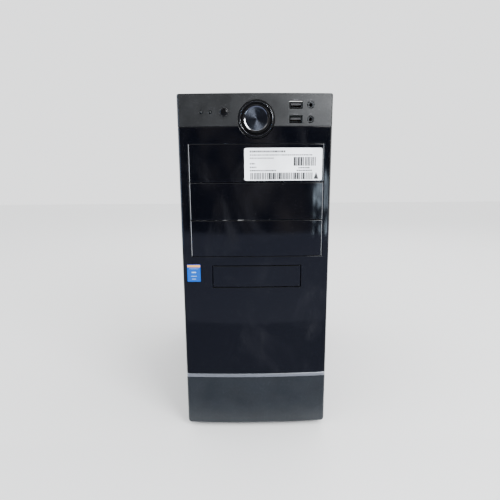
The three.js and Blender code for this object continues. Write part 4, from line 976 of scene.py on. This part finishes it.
# %% [markdown]
# ## Screws, nuts and rivets
#
# A screw head is drawn once: a domed disc with a cross-shaped recess. The recess is cut by a Boolean
# modifier, because a cross sunk into a dome is tedious to lay out by hand and trivial to subtract.
# Rivets are plain domes and nuts are hexagons. The stamping recipe then sets them where sheet meets
# sheet. Each is turned so that its own +Z points out of the surface, and screws get an odd turn of
# their own, because nobody lines up the crosses.


# %% Screw, nut and rivet heads, and their places
def carved(name, body, cutter):
    """body minus cutter, both plain meshes, as a new mesh."""
    target, tool = shown("target", body), shown("tool", cutter)
    step = target.modifiers.new("carve", "BOOLEAN")
    step.operation, step.object, step.solver = "DIFFERENCE", tool, "EXACT"
    graph = bpy.context.evaluated_depsgraph_get()
    mesh = bpy.data.meshes.new_from_object(target.evaluated_get(graph), depsgraph=graph)
    for piece in (target, tool):
        bpy.data.objects.remove(piece)
    mesh.name = name
    return mesh


head_profile = [(0, -0.2), (3.0, -0.2), (3.0, 0.6), (2.6, 1.25), (1.6, 1.65), (0, 1.75)]
hex_profile = [(0, -0.2), (3.4, -0.2), (3.4, 2.2), (2.9, 2.6), (1.5, 2.6), (1.5, 1.2), (0, 1.2)]
rivet_profile = [(0, -0.2), (1.9, -0.2), (1.9, 0.2), (1.3, 0.75), (0, 0.95)]
ARM_LONG, ARM_WIDE, ARM_DEEP = (-1.7, 1.7), (-0.38, 0.38), (0.75, 3)
screw_head = Stock().turned(head_profile, axis="Z", steps=20).data("head")
for x, y in ((ARM_LONG, ARM_WIDE), (ARM_WIDE, ARM_LONG)):
    screw_head = carved("screw_head", screw_head, Stock().block(x, y, ARM_DEEP).data("cross"))
hex_head = Stock().turned(hex_profile, axis="Z", steps=6).data("hex_head")
rivet_head = Stock().turned(rivet_profile, axis="Z", steps=14).data("rivet_head", 60)

OUT = {"+Y": (-90, 0), "-X": (0, -90)}


def facing(way, spin=0.0):
    """The turn, in degrees, that points +Z out along way after a spin about itself."""
    tilt, lean = (math.radians(angle) for angle in OUT[way])
    turned = Matrix.Rotation(tilt, 3, "X") @ Matrix.Rotation(lean, 3, "Y")
    turned = turned @ Matrix.Rotation(math.radians(spin), 3, "Z")
    return tuple(math.degrees(angle) for angle in turned.to_euler())


def set_out(way, points, size=1.0, odd=True):
    """Places for a stamp on those points, in mm, facing way."""
    return [(point, facing(way, luck.uniform(0, 90) if odd else 0), (size,) * 3) for point in points]


rear_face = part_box("chassis_rear_panel")[1].y / MM
supply_low, supply_high = box_mm("psu_case")
fan_low, fan_high = box_mm("rear_fan_frame")
fan_x, fan_z = middle_of(fan_low.x, fan_high.x), middle_of(fan_low.z, fan_high.z)
disk_low, disk_high = box_mm("hard_disk")
HALF_BOLTS = 41.2  # half the distance between the screws of a 92 mm fan
rear_screws = [(x, rear_face, z) for x in (-68, 68) for z in (supply_low.z + 8, supply_high.z - 6)]
rear_screws += [(fan_x + dx, rear_face, fan_z + dz) for dx in (-HALF_BOLTS, HALF_BOLTS)
                for dz in (-HALF_BOLTS, HALF_BOLTS)]
slot_boxes = [box_mm("slot_cover_%d" % (i + 1)) for i in range(4)]
slot_hexes = [(low.x - 5.0, rear_face, middle_of(low.z, high.z)) for low, high in slot_boxes]
rivets = [(x, rear_face, z) for x in (-80.5, 80.5) for z in (28, 92, 150, 212, 276, 334, 380)]
rivets += [(x, rear_face, 18) for x in (-60, -20, 20, 60)]
stamped("rear_screws", screw_head, set_out("+Y", rear_screws), dark_metal, "tower")
stamped("slot_screws", hex_head, set_out("+Y", slot_hexes), aluminium, "tower")
stamped("rear_rivets", rivet_head, set_out("+Y", rivets, odd=False), zinc, "tower")

cage_x, disk_wall = box_mm("bay_cage_left_wall")[0].x, disk_low.x - 1.8
inner_screws = [(cage_x, y, z) for y in (-150, -110, -60) for z in (245, 287, 329)]
inner_screws += [(disk_wall, y, disk_low.z + 8) for y in (-150, -100, -48)]
stamped("bay_screws", screw_head, set_out("-X", inner_screws), zinc, "tower")
board_screws = [(BOARD_FACE / MM, y, z) for y in (-5.2, 70.8, 190.8) for z in (62.8, 176.8, 290.8)]
stamped("board_screws", screw_head, set_out("-X", board_screws, 0.9), zinc, "tower")
screws = rear_screws + inner_screws + board_screws
print(len(screws), "cross-head screws,", len(slot_hexes), "hexagon heads,", len(rivets), "rivets")

# %% [markdown]
# ## Thumbscrews
#
# Fingers need something to hold, so the rim of a thumbscrew is knurled. A knurl repeats round a circle:
# the recipe makes a circle of points, sets a small ridge on each, and turns every ridge outwards. One
# piece is made for each screw, because each turns on its own.

# %% Knurled thumbscrews
knurling = Recipe("knurled_rim", Ridges="Int", Radius="Float", Height="Float", Tooth="Float",
                  Finish="Material")
circle = knurling.node("GeometryNodeMeshCircle", {
    "Vertices": knurling.given["Ridges"], "Radius": knurling.given["Radius"]}).outputs[0]
outwards = knurling.node("FunctionNodeAlignEulerToVector", {
    "Vector": knurling.node("GeometryNodeInputPosition").outputs[0]}, axis="X").outputs[0]
tooth_size = knurling.node("ShaderNodeCombineXYZ", {
    "X": knurling.given["Tooth"], "Y": knurling.given["Tooth"], "Z": knurling.given["Height"]}).outputs[0]
ridge = knurling.node("GeometryNodeMeshCube", {"Size": tooth_size}).outputs[0]
knurling.ends(knurling.node("GeometryNodeInstanceOnPoints", {
    "Points": circle, "Instance": ridge, "Rotation": outwards}).outputs[0])
for name in ("thumbscrew_lower", "thumbscrew_upper"):
    low, high = box_mm(name)
    middle_x, middle_z = middle_of(low.x, high.x), middle_of(low.z, high.z)
    rim = knurling.run(name + "_knurl", bpy.data.meshes.new("empty"), Ridges=30, Radius=4.42 * MM,
                       Height=4.6 * MM, Tooth=0.55 * MM, Finish=aluminium)
    rim.data.transform(Matrix.Translation(Vector((middle_x, high.y - 3.5, middle_z)) * MM) @ TO_REAR)
    finished(rim, name)
    # painted shade: a dark bar just proud of the head's face stands for the shaded slot
    slit_shade = Stock().block((middle_x - 3.2, middle_x + 3.2), (high.y - 0.3, high.y + 0.01),
                         (middle_z - 0.5, middle_z + 0.5))
    finished(shown(name + "_slit", slit_shade.data("slit_shade"), dark_metal), name)
print("two knurled rims of 30 ridges")

# %% [markdown]
# ## Perforated left panel
#
# The left panel is the one that breathes: a round field of holes stands over the processor fan and a
# short field over the expansion slots. Real panels are punched in one blow of a many-pinned tool. The
# recipe does the same: a grid of points, every other row shifted by half a pitch, is trimmed to the
# field's outline, a pin is set on each point, and all the pins are subtracted from a welded copy of
# the panel in one Boolean. The copy then stands for the panel.

# %% Punched panel
punching = Recipe("punched_field", Pitch="Float", Hole="Float", Radius="Float", Spot="Vector",
                  Reach="Vector", Finish="Material")
COUNT, PIN_SIDES, PIN_LENGTH = 25, 8, 6 * MM
pitch = punching.given["Pitch"]
rise = punching.maths("MULTIPLY", pitch, math.sqrt(3))
across, up = punching.maths("MULTIPLY", pitch, COUNT - 1), punching.maths("MULTIPLY", rise, COUNT - 1)
rows = punching.node("GeometryNodeMeshGrid", {
    "Size X": across, "Size Y": up, "Vertices X": COUNT, "Vertices Y": COUNT}).outputs["Mesh"]
half_step = punching.node("ShaderNodeCombineXYZ", {
    "X": punching.maths("MULTIPLY", pitch, 0.5), "Y": punching.maths("MULTIPLY", rise, 0.5)}).outputs[0]
shifted = punching.node("GeometryNodeTransform", {"Geometry": rows, "Translation": half_step}).outputs[0]
both = punching.node("GeometryNodeJoinGeometry")
for part in (shifted, rows):
    punching.tree.links.new(part, both.inputs[0])
spot = punching.node("GeometryNodeInputPosition").outputs[0]
sides = punching.node("ShaderNodeSeparateXYZ", {0: spot}).outputs
reach = punching.node("ShaderNodeSeparateXYZ", {0: punching.given["Reach"]}).outputs
from_middle = punching.node("ShaderNodeVectorMath", {0: spot}, operation="LENGTH").outputs["Value"]
too_far = punching.maths("GREATER_THAN", from_middle, punching.given["Radius"])
for axis in ("X", "Y"):
    past = punching.maths("GREATER_THAN", punching.maths("ABSOLUTE", sides[axis]), reach[axis])
    too_far = punching.maths("MAXIMUM", too_far, past)
field = punching.node("GeometryNodeDeleteGeometry", {
    "Geometry": both.outputs[0], "Selection": too_far}).outputs[0]
pin = punching.node("GeometryNodeMeshCylinder", {
    "Vertices": PIN_SIDES, "Radius": punching.given["Hole"], "Depth": PIN_LENGTH}).outputs["Mesh"]
pins = punching.node("GeometryNodeInstanceOnPoints", {"Points": field, "Instance": pin}).outputs[0]
standing = punching.node("GeometryNodeTransform", {
    "Geometry": punching.node("GeometryNodeRealizeInstances", {"Geometry": pins}).outputs[0],
    "Translation": punching.given["Spot"], "Rotation": (math.radians(90), 0, math.radians(90))}).outputs[0]
punched = punching.node("GeometryNodeMeshBoolean", operation="DIFFERENCE", solver="EXACT")
punching.tree.links.new(punching.given["Geometry"], punched.inputs[0])
punching.tree.links.new(standing, punched.inputs[1])
punching.ends(punched.outputs[0])


def welded_copy(name):
    """A solid's mesh as one closed skin, ready to be cut."""
    mesh = nodes[name].data.copy()
    work = bmesh.new()
    work.from_mesh(mesh)
    bmesh.ops.remove_doubles(work, verts=work.verts, dist=WELD_REACH)
    bmesh.ops.dissolve_limit(work, angle_limit=math.radians(0.5), verts=work.verts, edges=work.edges)
    work.to_mesh(mesh)
    work.free()
    return mesh


def punched_piece(name, solid, fields, pitch, hole, finish, body):
    """A copy of a solid with fields of holes, each (middle, radius, half sizes) in metres."""
    skin = welded_copy(solid)
    for i, (place, radius, reach) in enumerate(fields):
        piece = punching.run(name, skin, Pitch=pitch, Hole=hole, Radius=radius, Spot=place, Reach=reach,
                             Finish=finish)
        skin = piece.data
        if i < len(fields) - 1:
            bpy.data.objects.remove(piece)
    piece.data.shade_flat()
    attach(piece, body)
    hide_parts(solid)
    return piece


ANY = 1.0  # a reach or radius so large that it trims nothing
fan_low, fan_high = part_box("cpu_fan_rotor")
panel_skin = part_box("left_side_panel")[0].x
fan_middle = (panel_skin, middle_of(fan_low.y, fan_high.y), middle_of(fan_low.z, fan_high.z))
fan_field = (fan_middle, 0.043, (ANY, ANY, 0))
slot_field = ((panel_skin, 0.110, 0.095), ANY, (0.043, 0.024, 0))
panel = punched_piece("left_panel_punched", "left_side_panel", (fan_field, slot_field), 0.0056, 0.0020,
                      powder, "left_side_panel")
wall_low, wall_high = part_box("bay_cage_left_wall")
disk_box, BAYS_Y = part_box("hard_disk"), -0.098
cage_middle = (wall_low.x + 0.0004, BAYS_Y, middle_of(wall_low.z, wall_high.z))
disk_middle = (disk_box[0].x - 0.0021, BAYS_Y, middle_of(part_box("drive_cage")[0].z, disk_box[1].z) + 0.012)
for name, place, reach in (("bay_cage_left_wall", cage_middle, (0.062, 0.052, 0)),
                           ("drive_cage", disk_middle, (0.062, 0.045, 0))):
    punched_piece(name + "_punched", name, ((place, ANY, reach),), 0.0145, 0.0042, zinc, "tower")
print("punched panel:", len(panel.data.polygons), "faces")

# %% [markdown]
# ## Connectors at the back
#
# The row of connectors arrives as one zinc block. Their colours follow a code that every maker keeps:
# violet and green for the round keyboard and mouse socket, blue and white for the two video sockets,
# blue tongues for fast serial sockets, and pastel rings for sound. Each is modelled by its visible
# mouth: a thin near-black sheet as painted shade for the hole, a tongue or pins, and a steel shell or
# coloured ring that stands proud.

# %% Rear connectors
SMOOTH = 0.00001
port_colours = {
    "violet": ((0.14, 0.05, 0.30), 0.4), "mint": ((0.10, 0.42, 0.16), 0.4),
    "port_blue": ((0.015, 0.06, 0.36), 0.38), "ivory": ((0.62, 0.60, 0.54), 0.42),
    "rose": ((0.60, 0.16, 0.20), 0.4), "sky": ((0.10, 0.26, 0.58), 0.4),
    # painted shade: near-black for the thin sheets that stand for the shaded insides of the socket holes
    "painted_hole_black": ((0.006, 0.006, 0.007), 0.6),
}
violet, mint, port_blue, ivory, rose, sky, painted_hole_black = (
    moulded(name, colour, dull, depth=SMOOTH) for name, (colour, dull) in port_colours.items())

io_high = box_mm("rear_io_block")[1]
IO_Y, IO_X = io_high.y, io_high.x
middles, top = [], io_high.z
for length, space in ((14.5, 3), (31, 5), (15, 5), (14.5, 4), (16.5, 4), (13.5, 0)):
    middles.append(middle_of(top - length, top))
    top -= length + space
hole_shades, steel = Stock(), Stock()
tongue_places, hex_places, pin_places = [], [], []
SUNK, FLUSH = IO_Y - 0.2, (IO_Y - 0.2, IO_Y + 0.06)


def round_a(value, half):
    return (value - half, value + half)


def steel_frame(x, z, half_x, half_z, walls, overlap, mouth):
    """Four sheet walls round x, z. walls is half the thickness of the upright and the level ones."""
    for side in (-1, 1):
        steel.block(round_a(x + side * half_x, walls[0]), mouth, round_a(z, half_z + overlap[1]))
        steel.block(round_a(x, half_x + overlap[0]), mouth, round_a(z + side * half_z, walls[1]))


# painted shade: a thin black disc at the face stands for the shaded inside of a round socket
def hole_shade_disc(radius, x, z, steps):
    hole_shades.turned([(0, -0.1), (radius, -0.1), (radius, 0.07), (0, 0.07)], (x, IO_Y, z), steps=steps)


for row, depths in ((0, (26, 19)), (3, (24, 14)), (4, (24.5, 17.5))):
    for depth in depths:  # how far, in mm, the socket's middle stands off the board
        x, z = IO_X - depth, middles[row]
        # painted shade: a thin black block stands for the shaded inside of the serial socket
        hole_shades.block(round_a(x, 2.6), FLUSH, round_a(z, 6.2))
        steel_frame(x, z, 2.95, 6.4, (0.25, 0.2), (-0.25, 0.2), (SUNK, IO_Y + 0.35))
        tongue_places.append(((x - 0.8, IO_Y + 0.1, z), LEVEL, (1.7, 0.2, 10.8)))
round_x, round_z = IO_X - 8, middles[0]
hole_shade_disc(5.2, round_x, round_z, 36)
ring_profile = [(5.2, -0.2), (6.6, -0.2), (6.6, 0.7), (6.2, 1.0), (5.2, 0.6)]
key_ring = Stock().turned(ring_profile, (round_x, IO_Y, round_z), ring=True)
finished(shown("keyboard_socket_ring", key_ring.data("key_ring"), violet), "tower")
pin_places += [((round_x + 3 * math.cos(a), IO_Y + 0.1, round_z + 3 * math.sin(a)), LEVEL, (0.9, 0.12, 0.9))
               for a in (0.5, 1.6, 2.7, 3.7, 5.7)]

video = (("analogue_video", 7.0, port_blue, 8.0, 5), ("digital_video", 19.0, ivory, 11.5, 8))
for name, depth, finish, half, columns in video:
    x, z = IO_X - depth, middles[1]
    inner = Stock().block(round_a(x, 3.4), (SUNK, IO_Y + 2.2), round_a(z, half))
    finished(shown(name + "_insert", inner.data(name), finish), "tower", 0.5)
    steel_frame(x, z, 4.0, half + 0.6, (0.3, 0.3), (0.2, 0), (SUNK, IO_Y + 4.4))
    hex_places += [(x, IO_Y, z + side * (half + 3.0)) for side in (-1, 1)]
    pin_places += [((x + j * 1.9, IO_Y + 2.2, z + (i - (columns - 1) / 2) * 2.3), LEVEL, (0.7, 0.14, 0.7))
                   for i in range(columns) for j in (-1, 0, 1)]

x, z = IO_X - 6, middles[2]
# painted shade: a thin black block stands for the shaded inside of the serial socket
hole_shades.block(round_a(x, 2.4), FLUSH, round_a(z, 6.4))
tongue_places.append(((x, IO_Y + 0.1, z), LEVEL, (1.2, 0.2, 10.4)))
sound_profile = [(2.0, -0.2), (4.4, -0.2), (4.4, 0.5), (3.6, 1.2), (2.0, 1.0)]
for depth, finish, name in ((6.5, rose, "microphone"), (16.5, mint, "line_out"), (26.5, sky, "line_in")):
    x, z = IO_X - depth, middles[5]
    ring_stock = Stock().turned(sound_profile, (x, IO_Y, z), steps=40, ring=True)
    finished(shown(name + "_ring", ring_stock.data(name), finish), "tower")
    hole_shade_disc(2.0, x, z, 28)
# painted shade: all the black sheets and discs that stand for the socket holes
finished(shown("socket_wells", hole_shades.data("hole_shades"), painted_hole_black), "tower")
finished(shown("socket_shells", steel.data("steel"), zinc), "tower")
stamped("serial_tongues", plain_block, tongue_places, port_blue, "tower")
stamped("socket_pins", plain_block, pin_places, gilt, "tower")
stamped("video_nuts", hex_head, set_out("+Y", hex_places, 0.62, odd=False), zinc, "tower")
print("rear connectors:", len(tongue_places), "tongues,", len(pin_places), "pins,", len(hex_places), "nuts")

# %% [markdown]
# ## Parts on the boards
#
# A motherboard is crowded, and what makes it read as one is the mix: tall cans by the processor, black
# chips with two rows of legs, and hundreds of grains of resistor and capacitor. The grains are
# scattered by a seeded random sequence over the free areas, kept off whatever stands there.

# %% Cans, chokes, chips and grains
FACE = BOARD_FACE / MM
board_low, board_high = box_mm("motherboard")
can_profile = [(0, -0.2), (3.0, -0.2), (3.0, 0.6), (2.75, 0.9), (3.0, 1.2), (3.0, 8.4), (2.7, 8.8), (0, 8.6)]
top_profile = [(0, 8.6), (2.5, 8.62), (2.5, 8.95), (0, 8.98)]
can = Stock().turned(can_profile, axis="Z", steps=18).data("can")
can_top = Stock().turned(top_profile, axis="Z", steps=18).data("can_top")
choke = Stock().block((-4.5, 4.5), (-4.5, 4.5), (0, 6.5)).data("choke")
surface = BVHTree.FromObject(nodes["motherboard"], bpy.context.evaluated_depsgraph_get())
NOTHING_THERE, FLAT_ENOUGH = 99, 0.2


def standing_at(y, z):
    """How far, in mm, the solid stands off the board's face at y, z."""
    hit = surface.ray_cast(Vector((0, y * MM, z * MM)), Vector((1, 0, 0)))
    return FACE - hit[0].x / MM if hit[0] else NOTHING_THERE


def all_free(y, z, half_y, half_z):
    """Whether nothing stands at the middle, corners and sides of a rectangle."""
    spots = [(y + i * half_y, z + j * half_z) for i in (-1, 0, 1) for j in (-1, 0, 1)]
    return all(standing_at(*spot) < FLAT_ENOUGH for spot in spots)


cooler_low, cooler_high = box_mm("cpu_heatsink")
cpu_y, cpu_z = middle_of(cooler_low.y, cooler_high.y), middle_of(cooler_low.z, cooler_high.z)
cans = [(FACE, y, z) for y in (cpu_y - 26, cpu_y - 34) for z in (cpu_z + 40 - 8 * k for k in range(8))]
cans += [(FACE, board_high.y - 60 - 9 * k, cpu_z + 49) for k in range(5)]
cans += [(FACE, 40 + 22 * k, 143) for k in range(5)] + [(FACE, 5, 120), (FACE, 5, 131), (FACE, 150, 143)]
cans = [c for c in cans if all_free(c[1], c[2], 3.2, 3.2)]
chokes = [(FACE, cpu_y + 48, cpu_z + 36 - 18 * k) for k in range(5)]
chokes = [c for c in chokes if all_free(c[1], c[2], 4.6, 4.6)]
chips = [  # y, z, width, height, thickness
    (150, 125, 9, 9, 1.6), (120, 131, 14, 14, 1.4), (165, 82, 20, 20, 1.4), (60, 100, 8, 6, 1.4),
    (30, 66, 12, 12, 1.3), (92, 148, 7, 5, 1.2), (175, 150, 10, 6, 1.4), (180, 118, 7, 7, 1.2),
    (8, 145, 9, 7, 1.3)]
chips = [chip for chip in chips if all_free(chip[0], chip[1], chip[2] / 2, chip[3] / 2)]
chip_places = [((FACE - thick / 2, y, z), LEVEL, (thick, wide, high)) for y, z, wide, high, thick in chips]
grain_sizes, GRAINS_TRIED = ((0.6, 1.6, 0.8), (0.6, 0.8, 1.6), (0.5, 1.0, 0.6), (0.9, 2.2, 1.3)), 900
grains, legs = [], []
for _ in range(GRAINS_TRIED):
    y, z = luck.uniform(board_low.y + 2, board_high.y - 16), luck.uniform(board_low.z + 2, board_high.z - 2)
    size = luck.choice(grain_sizes)
    if all_free(y, z, 1.2, 1.2):
        grains.append(((FACE - size[0] / 2, y, z), LEVEL, size))
LEG_PITCH = 1.3
for y, z, wide, high, _ in chips:
    for side in (-1, 1):
        for k in range(int(wide / LEG_PITCH)):
            leg = (FACE - 0.3, y - wide / 2 + 0.9 + k * LEG_PITCH, z + side * (high / 2 + 0.5))
            legs.append((leg, LEVEL, (0.5, 0.45, 1.2)))
grain_tan = moulded("grain_tan", (0.28, 0.19, 0.11), 0.4, depth=SMOOTH)
stamped("board_cans", can, set_out("-X", cans, odd=False), dark_metal, "tower")
stamped("board_can_tops", can_top, set_out("-X", cans, odd=False), aluminium, "tower")
stamped("board_chokes", choke, set_out("-X", chokes, odd=False), graphite, "tower")
stamped("board_chips", plain_block, chip_places, fan_plastic, "tower")
stamped("board_chip_legs", plain_block, legs, zinc, "tower")
stamped("board_grains", plain_block, grains, grain_tan, "tower")

memory_chips = []
for name in ("memory_module_1", "memory_module_2"):
    low, high = box_mm(name)
    for k in range(8):
        z = high.z - 14 - k * 15.2 + (4 if k > 3 else 0)
        memory_chips.append(((low.x + 15.5, low.y + 0.55, z), LEVEL, (11.3, 1.3, 12.3)))
stamped("memory_chips", plain_block, memory_chips, fan_plastic, "tower")

print(len(cans), "cans,", len(chokes), "chokes,", len(chips), "chips,", len(legs), "legs,", len(grains),
      "grains")

# %% [markdown]
# ## Labels, hubs and plugs inside
#
# Whoever slides a panel off sees paper before anything else: a label on the supply, one on the disk,
# and a round sticker on two of the fans. They carry bars and dashes, like the label in front, and say
# nothing.


# %% Inner labels and hub stickers
def flat_print(name, origin, right, up, size, seed):
    """A paper label with lines of dashes, on a plane through origin spanned by right and up, in mm."""
    chance = random.Random(seed)
    right, up = Vector(right), Vector(up)
    out = right.cross(up)
    turn = tuple(math.degrees(angle) for angle in Matrix((right, up, out)).transposed().to_euler())
    width, height = size

    def spot_at(x, y, rise):
        return tuple(Vector(origin) + right * x + up * y + out * rise)

    sheet = [(spot_at(width / 2, height / 2, 0.05), turn, (width, height, 0.1))]
    stamped(name + "_paper", plain_block, sheet, paper, "tower")
    places, y = [], height - 4
    while y > 9:
        x, thick = 3.0, chance.choice((0.9, 1.2, 1.8))
        while x < width * chance.uniform(0.5, 0.92):
            length = chance.uniform(1.5, 7)
            places.append((spot_at(x + length / 2, y, 0.12), turn, (length, thick, 0.04)))
            x += length + 1.1
        y -= thick + chance.uniform(1.4, 3.2)
    x = 3.0
    while x < width * 0.6:
        bar = 0.45 * chance.choice((1, 2, 3))
        places.append((spot_at(x + bar / 2, 4.6, 0.12), turn, (bar, 5.0, 0.04)))
        x += bar + 0.45 * chance.choice((1, 2))
    stamped(name + "_print", plain_block, places, black_ink, "tower")


supply_corner = (box_mm("psu_cover")[0].x, 170, 320)
disk_corner = (disk_low.x + 9, disk_high.y - 62, disk_high.z)
flat_print("supply_label", supply_corner, (0, -1, 0), (0, 0, 1), (96, 56), seed=3)
flat_print("disk_label", disk_corner, (1, 0, 0), (0, 1, 0), (78, 48), seed=5)

hubs = {"cpu_fan_rotor": ("-X", 13), "rear_fan_rotor": ("+Y", 14)}
for name, (way, radius) in hubs.items():
    low, high = box_mm(name)
    centre, out = [middle_of(*pair) for pair in zip(low, high)], "XYZ".index(way[1])
    centre[out] = (low if way[0] == "-" else high)[out]
    disc = [(0, -0.05), (radius, -0.05), (radius, 0.12), (0, 0.12)]
    ring = [(radius * 0.72, 0.1), (radius * 0.86, 0.1), (radius * 0.86, 0.16), (radius * 0.72, 0.16)]
    disc_mesh = Stock().turned(disc, axis="Z", steps=40).data("hub_disc")
    ring_mesh = Stock().turned(ring, axis="Z", steps=40, ring=True).data("hub_ring")
    places = set_out(way, [centre], odd=False)
    stamped(name + "_sticker", disc_mesh, places, paper, name)
    stamped(name + "_sticker_ring", ring_mesh, places, enamel_blue, name)
print("two labels and", len(hubs), "hub stickers")

# %% [markdown]
# ## Plugs on the harnesses
#
# Wires don't run into a board: they end in nylon plugs. Each is a block, set where its harness stops,
# just short of the header that it serves. The large one also has a latch, and two rows of pale crimps
# showing at its mouth.

# %% Nylon plugs
main_end, front_end = box_mm("main_power_harness")[1], box_mm("front_panel_harness")[1]
power_z = cpu_z - 5
plug_stock = Stock()
plug_stock.block((main_end.x - 9, main_end.x + 1.3), (-8.2, 1.8), round_a(power_z, 24))
plug_stock.block((main_end.x - 6, main_end.x + 1.2), (1.8, 3.6), round_a(power_z, 3))
plug_stock.block((front_end.x - 7, front_end.x + 1.3), (front_end.y - 12, front_end.y - 1.5), (59.3, 64.3))
finished(shown("harness_plugs", plug_stock.data("plugs"), satin_black), "tower", 0.3)
CRIMPS, CRIMP_PITCH = 11, 4.2
crimps = [((main_end.x - 9.1, -5.7 + 5 * j, power_z - 21.6 + CRIMP_PITCH * k), LEVEL, (0.5, 2.4, 2.4))
          for j in (0, 1) for k in range(CRIMPS)]
stamped("plug_crimps", plain_block, crimps, ivory, "tower")
print("plugs with", len(crimps), "crimps")

# %% [markdown]
# ## Finish
#

# %% Finish
import json
